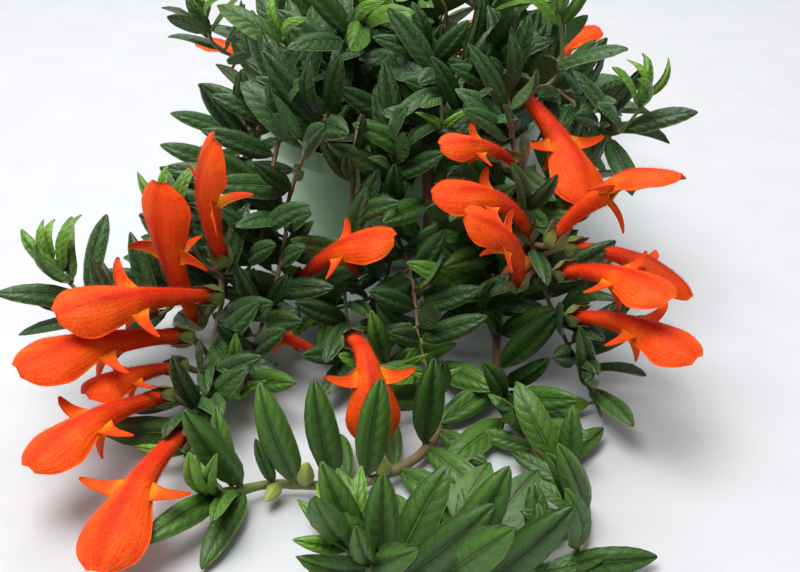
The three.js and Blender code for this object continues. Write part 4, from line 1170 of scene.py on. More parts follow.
def stamenLines(line, host):
    # four filaments close under the ridge, and a longer style
    look = bloomLook
    t = np.linspace(0, 1, 12)
    for k, offset in enumerate((-0.9, -0.3, 0.3, 0.9, 0.0)):
        share = np.linspace(0.5, 0.93 if k < 4 else 0.975, 12)
        x = offset * (1 - 0.5 * t)
        y = np.interp(share, *zip(*look["stamens"])) - (0.5 if k == 4 else 0)
        middles = line.place(share, x * line.size, y * line.size)
        host.addLine(middles, np.full(12, look["stamenThick"]), t, 0)


calyxLook = {
    "sepals": 5, "length": 13, "wall": 0.6, "teeth": 0.16, "flare": (0.1, 0.7),
    # share of the length, distance from the flower's middle line
    "bulge": ((0, 1.2), (0.15, 3.1), (0.45, 4.0), (0.75, 3.7), (1, 4.1)),
    # share of the length, half width
    "half": ((0, 1.1), (0.2, 2.5), (0.45, 2.4), (0.75, 1.4), (1, 0.12)),
}


def addCalyx(shape, line, draw):
    look, size = calyxLook, line.size
    middle, forward, rise, side = line.frame(0.0)
    rows = np.arange(11)
    v = np.linspace(0, 1, len(rows))
    t = np.linspace(-1, 1, 7)
    bulge, half = (throughPoints(v, *zip(*look[key])) for key in ("bulge", "half"))
    teeth = 1 + look["teeth"] * (rows % 3 == 0) * (v > 0.2) * (v < 0.95)
    width = (half * teeth)[:, None] * t[None, :]
    for k in range(look["sepals"]):
        angle = 2 * math.pi * k / look["sepals"]
        outward = side * math.cos(angle) + rise * math.sin(angle)
        beside = rise * math.cos(angle) - side * math.sin(angle)
        # every other sepal lies a little further out
        radius = np.sqrt(np.maximum(bulge[:, None] ** 2 - 0.35 * width ** 2, 0.3)) + 0.15 * (k % 2)
        least, more = look["flare"]
        flare = (least + more * draw.random()) * v[:, None] ** 3
        reach = look["length"] * size * v[:, None] - 0.5
        grid = middle + outward * (radius + flare)[..., None] + beside * width[..., None]
        grid = grid + forward * (reach + 0 * t)[..., None]
        thin = look["wall"] * (1 - 0.4 * np.abs(t))[None, :] * (1 - 0.4 * v[:, None])
        places, faces, skin = thickSheet(grid, thin)
        shape.add(places, faces, reach=np.tile((v[:, None] + 0 * t).ravel(), 2), fuzz=skin * 0.8)


budLook = {
    "rows": 16, "sides": 30, "furrow": 0.13,
    # share of the length, share of the half width
    "half": ((0, 0.18), (0.12, 0.62), (0.32, 1.0), (0.62, 0.84), (0.86, 0.42), (1, 0.04)),
}


def budShape(root, tip, width, ripe):
    # a closed bud: five sepals or petals pressed together into a spindle
    look, reach = budLook, tip - root
    rows, sides = look["rows"], look["sides"]
    way, length = unit(reach), np.linalg.norm(reach)
    across = squareTo(np.array([1.0, 0, 0]) if abs(way[2]) > 0.9 else np.array([0, 0, 1.0]), way)
    beside = np.cross(way, across)
    v = np.linspace(0, 1, rows)
    half = throughPoints(v, *zip(*look["half"])) * width / 2
    angle = np.linspace(0, 2 * math.pi, sides, endpoint=False)
    furrow = 1 - look["furrow"] * np.abs(np.sin(2.5 * angle + 0.4)) ** 6
    ring = half[:, None] * furrow[None, :]
    grid = root + way * length * v[:, None, None]
    grid = grid + across * (ring * np.cos(angle))[..., None] + beside * (ring * np.sin(angle))[..., None]
    last = (rows - 1) * sides
    faces = stripFaces(rows, sides, closed=True)
    faces += [tuple(range(sides))[::-1], tuple(last + j for j in range(sides))]
    each = np.ones(rows * sides)
    shape = Shape()
    shape.add(grid, faceOut(grid, faces), reach=np.repeat(v, sides), ripe=ripe * each, fuzz=0.6 * each)
    return shape


# hairs stand on whatever part of a skin is fuzzy

hairLook = {
    "thickness": 0.028, "lean": 0.16,   # of a hair one long
    "tilt": 0.6, "seed": 3,
    # hairs on a square metre where fuzz is 1, and their lengths
    "petal_hairs": {"density": 2300000, "lengths": (0.5, 1.6)},
    "calyx_hairs": {"density": 1500000, "lengths": (0.4, 1.1)},
    "leaf_hairs": {"density": 205000, "lengths": (0.35, 0.9)},
}


def hairTree():
    tree, start, end = newTree(
        "hairs", Hair="Object", Density="Float", Shortest="Float", Longest="Float", Tilt="Float",
        Seed="Int", Finish="Material",
    )
    given, tilt, seed = start.outputs, start.outputs["Tilt"], start.outputs["Seed"]
    density = times(tree, given["Density"], named(tree, "fuzz"))
    spread = addNode(
        tree, "GeometryNodeDistributePointsOnFaces",
        {"Mesh": given["Geometry"], "Density": density, "Seed": seed},
    )
    back = times(tree, tilt, -1.0)
    low = addNode(tree, "ShaderNodeCombineXYZ", {"X": back, "Y": back, "Z": -3.0})
    high = addNode(tree, "ShaderNodeCombineXYZ", {"X": tilt, "Y": tilt, "Z": 3.0})
    limits = {"Min": low, "Max": high, "Seed": seed}
    lean = addNode(tree, "FunctionNodeRandomValue", limits, data_type="FLOAT_VECTOR")
    lean = addNode(tree, "FunctionNodeEulerToRotation", {"Euler": lean})
    both = {"Rotation": spread.outputs["Rotation"], "Rotate By": lean}
    stand = addNode(tree, "FunctionNodeRotateRotation", both, rotation_space="LOCAL")
    limits = {"Min": given["Shortest"], "Max": given["Longest"], "Seed": seed}
    length = addNode(tree, "FunctionNodeRandomValue", limits, data_type="FLOAT")
    hair = addNode(tree, "GeometryNodeObjectInfo", {"Object": given["Hair"]}).outputs["Geometry"]
    grown = addNode(
        tree, "GeometryNodeInstanceOnPoints",
        {"Points": spread.outputs["Points"], "Instance": hair, "Rotation": stand, "Scale": length},
    )
    grown = addNode(tree, "GeometryNodeRealizeInstances", {"Geometry": grown})
    grown = addNode(tree, "GeometryNodeSetMaterial", {"Geometry": grown, "Material": given["Finish"]})
    tree.links.new(socketOf(grown.outputs, 0), end.inputs["Geometry"])
    return tree


def hairSpike(finish):
    # one hair of unit length: a thin three-sided spike that leans a little
    thick = hairLook["thickness"]
    angle = np.linspace(0, 2 * math.pi, 3, endpoint=False)
    foot = np.stack([thick * np.cos(angle), thick * np.sin(angle), np.full(3, -0.05)], axis=-1)
    places = np.vstack([foot, [[hairLook["lean"], 0, 1]]])
    faces = [(0, 1, 3), (1, 2, 3), (2, 0, 3), (2, 1, 0)]
    shape = Shape()
    shape.add(places / mm, faceOut(places, faces))
    made = shape.toObject("hair_spike", [finish])
    collection.objects.unlink(made)
    return made


hairs = hairTree()


def addHairs(skins, name, finish):
    # one mesh of hairs for all the given skins
    look = hairLook[name]
    host = bpy.data.objects.new("skins", bpy.data.meshes.new("skins"))
    collection.objects.link(host)
    work = bmesh.new()
    for skin in skins:
        work.from_mesh(skin.data)
    work.to_mesh(host.data)
    work.free()
    shortest, longest = look["lengths"]
    return grow(
        host, hairs, name, Hair=hairSpike(finish), Density=look["density"], Shortest=shortest * mm,
        Longest=longest * mm, Tilt=hairLook["tilt"], Seed=hairLook["seed"], Finish=finish,
    )


def finished(piece, slot, *replaced):
    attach(piece, "root")
    if replaced:
        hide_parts(*replaced)
    return piece


# the pot: a shallow mint plastic bowl with a stepped band, plates on the band and drain holes

potLook = {
    "rimRadius": 70, "height": 70, "bandHeight": 10, "bandStep": 3.2, "baseRadius": 46, "kneeHeight": 24,
    "kneeRadius": 58.5, "wall": 1.8, "floor": 2.4, "sides": 144,
    "round": 0.7, "footRound": 1.5, "kneeRound": 5,
    "drains": 4, "drainRadius": 4, "drainCircle": 27, "drainTurn": 45,
    "plates": 3, "plateTurn": -118, "plateSize": (2.4, 9, 8), "plateMiddle": (69.4, 65),
    "colours": ("a0cc9f", "b8e0b6"), "dust": "dbe6d4", "splash": "7d7660", "splashTop": 20,
    "mouldMarks": 22,
}


def roundedLine(corners, steps=5):
    # a line through (radius, height, rounding) corners, each rounded by a short curve
    line = []
    for i, (radius, height, rounding) in enumerate(corners):
        here = np.array([radius, height], float)
        if not rounding:
            line.append(here)
            continue
        ends = (np.array(corners[k][:2], float) for k in (i - 1, i + 1))
        before, after = (here + rounding * unit(end - here) for end in ends)
        for t in np.linspace(0, 1, steps):
            line.append((1 - t) ** 2 * before + 2 * t * (1 - t) * here + t * t * after)
    return np.array(line)


def turned(line, sides):
    # a closed solid of a line that starts and ends on the axis, turned round it
    angle = np.linspace(0, 2 * math.pi, sides, endpoint=False)
    inner = line[1:-1]
    places = np.stack([
        inner[:, :1] * np.cos(angle), inner[:, :1] * np.sin(angle), inner[:, 1:] + 0 * angle,
    ], axis=-1).reshape(-1, 3)
    faces = stripFaces(len(inner), sides, closed=True)
    low, high = len(places), len(places) + 1
    last = (len(inner) - 1) * sides
    faces += [(low, (j + 1) % sides, j) for j in range(sides)]
    faces += [(high, last + j, last + (j + 1) % sides) for j in range(sides)]
    places = np.vstack([places, [[0, 0, line[0, 1]], [0, 0, line[-1, 1]]]])
    return places, faceOut(places, faces)


def cut(made, other, operation):
    # joins or cuts one object by another, and drops the other
    modifier = made.modifiers.new("cut", "BOOLEAN")
    modifier.operation, modifier.solver, modifier.object = operation, "EXACT", other
    mesh = plainMesh(made)
    made.modifiers.remove(modifier)
    made.data = mesh
    bpy.data.objects.remove(other)


def potFinish():
    look = potLook
    finish, tree, shader = newFinish(
        "pot_plastic", Roughness=0.4, Subsurface_Weight=0.12, Subsurface_Scale=0.003,
        Specular_IOR_Level=0.45,
    )
    cloud, dust, grain = noisy(tree, 35, 3), noisy(tree, 260, 5, 0.7), noisy(tree, 1500, 2)
    base = mixed(tree, cloud, *map(colour, look["colours"]))
    base = mixed(tree, ramp(tree, dust, 0.58, 0.78, 0.0, 0.45), base, colour(look["dust"]))
    where = addNode(tree, "ShaderNodeTexCoord").outputs["Object"]
    place = addNode(tree, "ShaderNodeSeparateXYZ", {"Vector": where}).outputs
    # splashes of soil low on the wall, and narrow upright mould marks on the band
    splash = times(tree, ramp(tree, place["Z"], look["splashTop"] * mm, 0.0), ramp(tree, dust, 0.5, 0.65))
    base = mixed(tree, times(tree, splash, 0.5), base, colour(look["splash"]))
    tree.links.new(base, shader.inputs["Base Color"])
    turn = sums(tree, "ARCTAN2", place["Y"], place["X"])
    mark = sums(tree, "PINGPONG", times(tree, turn, look["mouldMarks"] / math.pi), 0.5)
    band = look["height"] - look["bandHeight"]
    onBand = ramp(tree, place["Z"], (band + 0.5) * mm, (band + 2) * mm)
    mark = times(tree, ramp(tree, mark, 0.03, 0.0), onBand)
    height = sums(tree, "MULTIPLY_ADD", mark, 0.8, times(tree, grain, 0.15))
    bumped(tree, shader, height, 0.0004, 0.8)
    tree.links.new(ramp(tree, dust, 0.3, 0.7, 0.34, 0.5), shader.inputs["Roughness"])
    return finish


def boxShape(size, middle, turn):
    # an upright box, turned round the axis
    signs = [(x, y, z) for z in (-0.5, 0.5) for y in (-0.5, 0.5) for x in (-0.5, 0.5)]
    x, y, z = (np.array(signs) * size + (middle[0], 0, middle[1])).T
    c, s = math.cos(turn), math.sin(turn)
    places = np.stack([c * x - s * y, s * x + c * y, z], axis=-1)
    faces = [(0, 2, 3, 1), (4, 5, 7, 6), (0, 1, 5, 4), (2, 6, 7, 3), (0, 4, 6, 2), (1, 3, 7, 5)]
    return places, faceOut(places, faces)


def makePot():
    look = potLook
    rim, top, base, bottom = look["rimRadius"], look["height"], look["baseRadius"], look["floor"]
    wall, edge, foot, bend = look["wall"], look["round"], look["footRound"], look["kneeRound"]
    band, knee, high = top - look["bandHeight"], look["kneeRadius"], look["kneeHeight"]
    neck = rim - look["bandStep"]
    line = roundedLine([
        (0, 0, 0), (base - 2, 0, edge), (base, bottom, foot), (knee, high, bend), (neck, band, edge / 2),
        (rim, band, edge), (rim, top, edge), (rim - wall, top, edge), (rim - wall, band + wall, edge),
        (neck - wall, band, edge), (knee - wall, high, bend), (base - wall, bottom, foot), (0, bottom, 0),
    ])
    shape = Shape()
    shape.add(*turned(line, look["sides"]))
    pot = shape.toObject("pot_bowl", [potFinish()])
    holes = Shape()
    radius, circle = look["drainRadius"], look["drainCircle"]
    drain = roundedLine([(0, -1, 0), (radius, -1, 0), (radius, 4, 0), (0, 4, 0)])
    for i in range(look["drains"]):
        turn = math.radians(look["drainTurn"]) + 2 * math.pi * i / look["drains"]
        places, faces = turned(drain, 32)
        holes.add(places + (circle * math.cos(turn), circle * math.sin(turn), 0), faces)
    cut(pot, holes.toObject("holes"), "DIFFERENCE")
    plates = Shape()
    for i in range(look["plates"]):
        turn = math.radians(look["plateTurn"]) + 2 * math.pi * i / look["plates"]
        plates.add(*boxShape(look["plateSize"], look["plateMiddle"], turn))
    cut(pot, plates.toObject("plates"), "UNION")
    pot.data.set_sharp_from_angle(angle=math.radians(38))
    return pot


finished(makePot(), "pot_plastic", "pot")


# soil: a rough round bed with crumbs of bark and white grit

soilLook = {
    "inset": 2.1, "low": 2.7, "edge": 57, "middle": 60, "rings": 34, "sides": 110,
    "rough": 1.5, "lumps": 0.16,          # height of the lumps, and how many come in a millimetre
    "crumbs": 330000, "sizes": (0.7, 2.6), "seed": 5,
    # three, two and one shapes of these
    "kinds": (
        ("bark_crumb", ("3a2415", "6b4528")), ("peat_crumb", ("1d140d", "3b291a")),
        ("grit_crumb", ("cfcabd", "efece2")),
    ),
    "peat": ("120c08", "3a281a"),
}


def bowlRadius(height):
    # the outside of the bowl's wall under the band
    look = potLook
    heights = (look["floor"], look["kneeHeight"], look["height"] - look["bandHeight"])
    radii = (look["baseRadius"], look["kneeRadius"], look["rimRadius"] - look["bandStep"])
    return np.interp(height, heights, radii)


def makeSoilBed(finish):
    look = soilLook
    low, edge, middle = look["low"], look["edge"], look["middle"]
    share = np.linspace(0, 1, look["rings"])[:-1]
    heights = np.array([low, potLook["kneeHeight"], 40, edge - 1])
    side = np.stack([bowlRadius(heights) - look["inset"], heights], axis=-1)
    radius = side[-1, 0]
    top = np.stack([radius * (1 - share), edge + (middle - edge) * smoothStep(share, 0, 1)], axis=-1)
    line = np.vstack([[[0, low]], side, top, [[0, middle]]])
    places, faces = turned(line, look["sides"])
    for i, place in enumerate(places):
        if place[2] > edge - 0.5:
            spot = Vector(place) * look["lumps"]
            lift = noise.fractal(spot, 0.8, 2.1, 4) + 0.6 * abs(noise.noise(spot * 2.3))
            places[i, 2] += look["rough"] * float(np.clip(lift, -1, 1))
    loose = (places[:, 2] > edge - 3) * (np.hypot(places[:, 0], places[:, 1]) < radius - 2)
    shape = Shape()
    shape.add(places, faces, loose=loose)
    return shape.toObject("soil_bed", [finish])


def crumbShape(seed, name, finish):
    # a rough grain of about unit size
    ball = bmesh.new()
    bmesh.ops.create_icosphere(ball, subdivisions=1, radius=0.5)
    for vert in ball.verts:
        vert.co *= 1 + 0.5 * noise.noise(vert.co * 2 + Vector((seed, 0, 0)))
        vert.co.z *= 0.65
    mesh = bpy.data.meshes.new(name)
    ball.to_mesh(mesh)
    ball.free()
    mesh.materials.append(finish)
    return bpy.data.objects.new(name, mesh)


def crumbTree():
    tree, start, end = newTree(
        "crumbs", Crumbs="Collection", Density="Float", Smallest="Float", Largest="Float", Seed="Int",
        Finish="Material",
    )
    given, seed = start.outputs, start.outputs["Seed"]
    density = times(tree, given["Density"], named(tree, "loose"))
    spread = addNode(
        tree, "GeometryNodeDistributePointsOnFaces",
        {"Mesh": given["Geometry"], "Density": density, "Seed": seed},
    )
    limits = {"Min": (-3, -3, -3), "Max": (3, 3, 3), "Seed": seed}
    turn = addNode(tree, "FunctionNodeRandomValue", limits, data_type="FLOAT_VECTOR")
    limits = {"Min": given["Smallest"], "Max": given["Largest"], "Seed": seed}
    size = addNode(tree, "FunctionNodeRandomValue", limits, data_type="FLOAT")
    kinds = addNode(
        tree, "GeometryNodeCollectionInfo",
        {"Collection": given["Crumbs"], "Separate Children": True, "Reset Children": True},
    )
    crumbs = addNode(
        tree, "GeometryNodeInstanceOnPoints",
        {
            "Points": spread.outputs["Points"], "Instance": kinds, "Pick Instance": True,
            "Rotation": turn, "Scale": size,
        },
    )
    crumbs = addNode(tree, "GeometryNodeRealizeInstances", {"Geometry": crumbs})
    bare = {"Geometry": given["Geometry"], "Material": given["Finish"]}
    bed = addNode(tree, "GeometryNodeSetMaterial", bare)
    both = addNode(tree, "GeometryNodeJoinGeometry", {"Geometry": crumbs})
    tree.links.new(bed.outputs["Geometry"], both.inputs["Geometry"])
    tree.links.new(both.outputs["Geometry"], end.inputs["Geometry"])
    return tree


peat = plainFinish("soil_peat", soilLook["peat"], 420, 0.9, 0.0012)
crumbKinds = bpy.data.collections.new("crumbs")
for i, (name, colours) in enumerate(soilLook["kinds"]):
    for k in range(3 - i):
        grain = plainFinish(name, colours, 500, 0.85, 0.0006)
        crumbKinds.objects.link(crumbShape(7 * i + k, f"{name}_{k}", grain))
smallest, largest = soilLook["sizes"]
bed = grow(
    makeSoilBed(peat), crumbTree(), "soil_bed", Crumbs=crumbKinds, Density=float(soilLook["crumbs"]),
    Smallest=smallest * mm, Largest=largest * mm, Seed=soilLook["seed"], Finish=peat,
)
finished(bed, "soil", "soil")


# a dry twig at the back

twigLook = {
    "foot": (14, -12), "route": [(16, -14, 90), (21, -22, 112), (20, -38, 128), (17, -52, 138)],
    "thick": (1.5, 0.7), "sides": 12, "bark": 0.5, "colours": ("8a6a48", "c9a87c"),
    # distance along the twig, length and turn of each stub
    "stubs": ((46, 7, 60), (72, 5, 200), (84, 8, 310)),
}


def makeTwig():
    look = twigLook
    rise = [(*look["foot"], z) for z in stemLook["soilRise"]]
    foot, tip = look["thick"]
    twig = Stem(rise + look["route"], foot, tip / foot)
    host = StemHost()
    host.addLine(twig.line, twig.radius, np.linspace(0, 1, len(twig.line)), 1.0)
    for distance, length, turn in look["stubs"]:
        place, way, radius = twig.at(distance)
        turn = math.radians(turn)
        aside = squareTo(np.array([math.cos(turn), math.sin(turn), 0.4]), way)
        stub = [place + (0.5 * aside + 0.8 * way) * length * share for share in (0, 0.5, 1)]
        host.addLine(np.array(stub), np.array([0.7, 0.55, 0.3]) * radius, (0, 0, 0), 1.0)
    dry = plainFinish("dry_bark", look["colours"], 700, 0.8, 0.0006)
    return grow(
        host.toObject("host"), leafyStem, "dry_twig_stick", Blades=blades, Tube_Sides=look["sides"],
        Lowest=0.0, Bark_Depth=look["bark"] * mm, Stem_Finish=dry, Leaf_Finish=dry,
    )


finished(makeTwig(), "dry_twig", "dry_twig")
print("pot, soil and twig ready")


# camera: as the photograph's, from a little above the table

# its tilt in degrees, its focal length in pixels, and the picture's width and height
cameraLook = {
    "place": (0, -479.3, 272.3), "down": 33, "pixelsToLens": 1035, "image": (800, 572), "sensor": 36,
}
camera = bpy.data.objects.new("camera", bpy.data.cameras.new("camera"))
collection.objects.link(camera)
camera.location = Vector(cameraLook["place"]) * mm
camera.rotation_euler = (math.radians(90 - cameraLook["down"]), 0, 0)
camera.data.sensor_width = cameraLook["sensor"]
camera.data.lens = cameraLook["sensor"] * cameraLook["pixelsToLens"] / cameraLook["image"][0]
camera.data.clip_start = 0.01
bpy.context.scene.camera = camera


def seen(places):
    # where the camera sees the places, in the picture's pixels, and how far off they are
    down = math.radians(cameraLook["down"])
    off = np.asarray(places, float).reshape(-1, 3) - cameraLook["place"]
    ahead = off[:, 1] * math.cos(down) - off[:, 2] * math.sin(down)
    up = off[:, 1] * math.sin(down) + off[:, 2] * math.cos(down)
    scale, (wide, high) = cameraLook["pixelsToLens"], cameraLook["image"]
    return np.stack([wide / 2 + scale * off[:, 0] / ahead, high / 2 - scale * up / ahead], axis=-1), ahead


# flowers and buds

bloomLines = {name: BloomLine(*row[1:]) for name, row in blooms.items()}
calyxPieces, budPieces, bloomPieces = [], [], []
stamens = StemHost()
for name, line in bloomLines.items():
    corolla, calyx = Shape(), Shape()
    addHood(corolla, line, draw)
    addLobes(corolla, line, draw)
    addCalyx(calyx, line, draw)
    stamenLines(line, stamens)
    kind = name.removeprefix("bloom_")
    piece = corolla.toObject("corolla_" + kind, [petalSkin])
    bloomPieces.append(finished(piece, "petals", name))
    piece = calyx.toObject("calyx_" + kind, [calyxSkin])
    calyxPieces.append(finished(piece, "leaves_and_stems"))
for name, shoot in shoots.items():
    for k, (distance, x, y, z, width, *ripe) in enumerate(shoot.get("buds", [])):
        root = stems[name][0].at(distance)[0]
        bud = budShape(root, root + np.array([x, y, z]), width, ripe[0] if ripe else 0.0)
        piece = bud.toObject(f"bud_{name.removeprefix('shoot_')}_{k}", [budSkin])
        budPieces.append(finished(piece, "petals" if ripe else "leaves_and_stems"))
filament = plainFinish("filament", bloomLook["stamenColours"], 200, 0.5)
piece = grow(
    stamens.toObject("host"), leafyStem, "stamens", Blades=blades, Tube_Sides=bloomLook["stamenSides"],
    Bark_Depth=0.0, Lowest=0.0, Stem_Finish=filament, Leaf_Finish=filament,
)
finished(piece, "petals")
finished(addHairs(bloomPieces, "petal_hairs", petalFuzz), "petals")
finished(addHairs(calyxPieces + budPieces, "calyx_hairs", leafFuzz), "leaves_and_stems")
print("flowers ready")


# Lesser leaves between the solid ones, which the solids have no room for. Each grows from a solid
# leaf, set on along the stem and turned round it, where it has room and hides no flower.
fillLook = {
    # the way along the stem, the turn round it, the share of the solid leaf's length and the rise
    "passes": (
        {"shift": (5, 10), "turn": (65, 115), "size": (0.85, 1.05), "rise": 0.25},
        {"shift": (-9, -4), "turn": (-70, -30), "size": (0.75, 0.95), "rise": 0.35},
        {"shift": (12, 18), "turn": (-30, 30), "size": (0.75, 0.95), "rise": 0.1},
    ),
    "ratio": (0.29, 0.36),                # width to length
    "shortest": 15, "foot": 6, "end": 3, "bow": (0.7, 1.5), "stalk": 2,
    # how far it leans away from the pot's axis, and how far its face turns up and outwards
    "outward": 0.15, "faceUp": 1.3, "faceOut": 0.5,
    # room left to other leaves, petals, the pot, the table and the sides of the solids' box
    "apart": 8, "alike": 0.6, "petalGap": 4.5, "potGap": 1.5, "rimGap": 5, "soilGap": 2,
    "floorGap": 1.5, "beyond": 5,
    "bloomView": 6,                       # pixels round a petal that stay free in front of it
    # the long front stem stays in sight from here on: millimetres along it, and pixels beside it
    "bareStem": "shoot_front_table", "bareFrom": 165, "stemView": 14,
    # round spots of the picture where the pot or the table shows: x, y and radius
    "openings": (
        (277, 160, 15), (325, 178, 17), (322, 205, 16), (442, 190, 15), (275, 405, 18), (318, 244, 12),
        (460, 345, 22), (500, 350, 18), (275, 535, 22), (205, 90, 30), (215, 140, 18), (655, 30, 40),
        (690, 90, 45), (540, 350, 12), (60, 190, 60), (130, 130, 60), (640, 480, 60), (720, 300, 60),
        (20, 450, 60),
    ),
}
upward = np.array([0, 0, 1.0])


def turnedAbout(vector, axis, angle):
    return (
        vector * math.cos(angle) + np.cross(axis, vector) * math.sin(angle)
        + axis * np.dot(axis, vector) * (1 - math.cos(angle))
    )


def treeOf(places):
    tree = KDTree(len(places))
    for i, place in enumerate(places):
        tree.insert(Vector((*place, 0)) if len(place) == 2 else Vector(place), i)
    tree.balance()
    return tree


def cornersOf(pieces):
    found = []
    for piece in pieces:
        co = np.empty(len(piece.data.vertices) * 3)
        piece.data.vertices.foreach_get("co", co)
        found.append(co.reshape(-1, 3) / mm)
    return np.vstack(found)


petals = cornersOf(bloomPieces)[::3]
petalTree = treeOf(petals)
petalSeen, petalDepth = seen(petals)
petalSeenTree = treeOf(petalSeen)
bareStem = stems[fillLook["bareStem"]][0]
bareSeenTree = treeOf(seen(bareStem.line[bareStem.along > fillLook["bareFrom"]])[0])
leafLow, leafHigh = (np.array(corner) / mm for corner in (cadLow, cadHigh))


def inPot(place):
    look, room, radius = potLook, fillLook, math.hypot(place[0], place[1])
    heights = (0, look["kneeHeight"], look["height"] - look["bandHeight"], look["height"])
    radii = (look["baseRadius"], look["kneeRadius"], look["rimRadius"], look["rimRadius"])
    outer = np.interp(place[2], heights, radii)
    # over the soil a leaf may hang into the pot
    hollow = place[2] > soilLook["middle"] + room["soilGap"] and radius < outer - room["rimGap"]
    return place[2] < look["height"] + 1 and radius < outer + room["potGap"] and not hollow


def hasRoom(leaf, others):
    look = fillLook
    beside = np.cross(leaf["face"], leaf["way"]) * leaf["width"] / 2
    middle = leaf["root"] + leaf["way"] * leaf["length"] / 2
    places = [leaf["root"] + leaf["way"] * leaf["length"] * share for share in (0.2, 0.5, 0.8, 1)]
    places = np.array(places + [middle + beside, middle - beside])
    if places[:, 2].min() < look["floorGap"] or any(inPot(place) for place in places):
        return False
    if (places < leafLow - look["beyond"]).any() or (places > leafHigh + look["beyond"]).any():
        return False
    if any(petalTree.find(place)[2] < look["petalGap"] for place in places):
        return False
    spots, depths = seen(places)
    for spot, depth in zip(spots, depths):
        k, off = petalSeenTree.find((*spot, 0))[1:]
        if off < look["bloomView"] and depth < petalDepth[k]:
            return False
        if bareSeenTree.find((*spot, 0))[2] < look["stemView"]:
            return False
        if any(math.hypot(spot[0] - x, spot[1] - y) < radius for x, y, radius in look["openings"]):
            return False
    for other in others:
        gap = np.linalg.norm(other["root"] + other["way"] * other["length"] / 2 - middle)
        if gap < look["apart"] and np.dot(other["way"], leaf["way"]) > look["alike"]:
            return False
    return True


def flowerStalk(line, own):
    # a bent stalk from the stem to a flower's base: places, radii and reach
    look = bloomLook
    base, forward = line.frame(0.0)[:2]
    stem, distance = nearestOf(own, base)
    foot = stem.at(distance)[0]
    bend = foot + look["stalkBend"] * (base - foot) - look["stalkSag"] * forward
    t = np.linspace(0, 1, 12)[:, None]
    stalk = (1 - t) ** 2 * foot + 2 * t * (1 - t) * bend + t * t * (base + forward)
    return stalk, np.linspace(*look["stalkThick"], 12), np.linspace(0.5, 0.85, 12), 0.0


def fillers(leaves, own, others):
    # the lesser leaves of one leafy stem
    look, made = fillLook, []
    for change in look["passes"]:
        for leaf in leaves:
            stem, distance = nearestOf(own, leaf["root"])
            distance += draw.uniform(*change["shift"])
            turn = math.radians(draw.uniform(*change["turn"]))
            length = leaf["length"] * draw.uniform(*change["size"])
            ratio = draw.uniform(*look["ratio"])
            if not look["foot"] < distance < stem.reach - look["end"] or length < look["shortest"]:
                continue
            place, along, radius = stem.at(distance)
            away = unit(np.array([place[0], place[1], 0.0]))
            way = turnedAbout(leaf["way"], along, turn)
            way = unit(way + upward * change["rise"] + look["outward"] * away)
            face = turnedAbout(leaf["face"], along, turn) + look["faceUp"] * upward + look["faceOut"] * away
            new = {
                "root": place + way * (radius + look["stalk"]), "way": way, "length": length,
                "width": length * ratio, "face": squareTo(face, way),
                "bow": leaf["bow"] * draw.uniform(*look["bow"]),
            }
            if hasRoom(new, others):
                made.append(new)
                others.append(new)
    return made


solidLeaves = {name: readLeaves(frame["nodes"][name]) for name in shoots}
everyLeaf = [leaf for leaves in solidLeaves.values() for leaf in leaves]
solidCount = len(everyLeaf)
leafyPieces = []
for name, leaves in solidLeaves.items():
    host, own, shoot = StemHost(), stems[name], shoots[name]
    fresh = shoot.get("fresh", 0)
    for leaf in leaves:
        addLeafTo(host, leaf, own, fresh=fresh)
    more = []
    for again in range(shoot.get("fill", 1)):
        more += fillers(leaves, own, everyLeaf)
    for leaf in more:
        addLeafTo(host, leaf, own, plain=True, fresh=fresh)
    for stem in own:
        share = np.clip(stem.along / stem.reach, 0, 1)
        wood = shoot.get("woody", 0.25) * (1 - smoothStep(share, 0.3, 0.85))
        host.addLine(stem.line, stem.radius, share, wood)
    for bloomName, row in blooms.items():
        if row[0] == name:
            host.addLine(*flowerStalk(bloomLines[bloomName], own))
    piece = grow(
        host.toObject("host"), leafyStem, "leafy_" + name.removeprefix("shoot_"), Blades=blades,
        Tube_Sides=stemLook["sides"], Bark_Depth=stemLook["bark"] * mm, Lowest=stemLook["lowest"] * mm,
        Stem_Finish=stemBark, Leaf_Finish=leafSkin,
    )
    leafyPieces.append(finished(piece, "leaves_and_stems", name))
finished(addHairs(leafyPieces, "leaf_hairs", leafFuzz), "leaves_and_stems")
print("leafy stems ready with", solidCount, "solid leaves and", len(everyLeaf) - solidCount, "lesser ones")


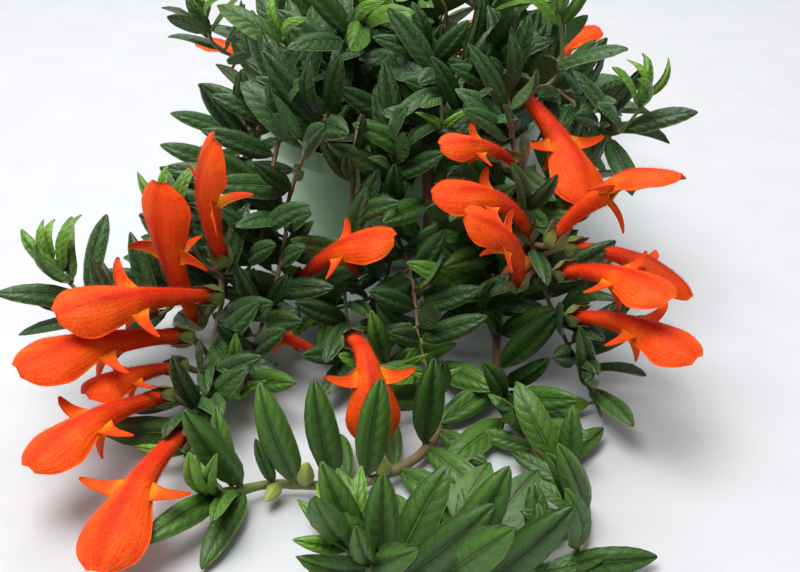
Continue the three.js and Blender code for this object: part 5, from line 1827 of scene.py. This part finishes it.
# light and table, in metres

lightLook = {
    "top_window": {
        "place": (-0.35, -0.24, 1.5), "aim": (0, -0.08, 0), "size": 0.9, "power": 24,
        "tint": (0.98, 0.98, 0.98),
    },
    "back_window": {
        "place": (0.1, 1.0, 1.3), "aim": (0, -0.05, 0.05), "size": 1.0, "power": 8,
        "tint": (0.97, 0.99, 1.0),
    },
    "sky": {"power": 1.2, "spread": 80, "tint": (1.0, 0.99, 0.97), "turn": (-14, -16, 0)},
    "world": {"power": 0.22, "tint": (0.93, 0.97, 1.0, 1)},
}
tableLook = {
    "half": 12000, "colours": ("c8c9cc", "cccdd0"), "grain": 30, "roughness": 0.55, "depth": 0.00005,
}


def softLight(name):
    look = lightLook[name]
    lamp = bpy.data.lights.new(name, "AREA")
    lamp.shape, lamp.size, lamp.energy, lamp.color = "SQUARE", look["size"], look["power"], look["tint"]
    made = bpy.data.objects.new(name, lamp)
    collection.objects.link(made)
    made.location = look["place"]
    toAim = Vector(look["aim"]) - Vector(look["place"])
    made.rotation_euler = toAim.to_track_quat("-Z", "Y").to_euler()


softLight("top_window")
softLight("back_window")
look = lightLook["sky"]
sky = bpy.data.lights.new("sky_light", "SUN")
sky.energy, sky.angle, sky.color = look["power"], math.radians(look["spread"]), look["tint"]
skyLight = bpy.data.objects.new("sky_light", sky)
collection.objects.link(skyLight)
skyLight.rotation_euler = [math.radians(turn) for turn in look["turn"]]
look = lightLook["world"]
world = bpy.data.worlds.new("studio")
bpy.context.scene.world = world
world.use_nodes = True
background = world.node_tree.nodes["Background"]
background.inputs["Color"].default_value = look["tint"]
background.inputs["Strength"].default_value = look["power"]

look, half = tableLook, tableLook["half"]
table = Shape()
table.add([(-half, -half, 0), (half, -half, 0), (half, half, 0), (-half, half, 0)], [(0, 1, 2, 3)])
surface = plainFinish("pale_table", look["colours"], look["grain"], look["roughness"], look["depth"])
floor = table.toObject("floor", [surface], smooth=False)
bpy.context.scene.view_settings.view_transform = "Standard"
print("light and table ready")
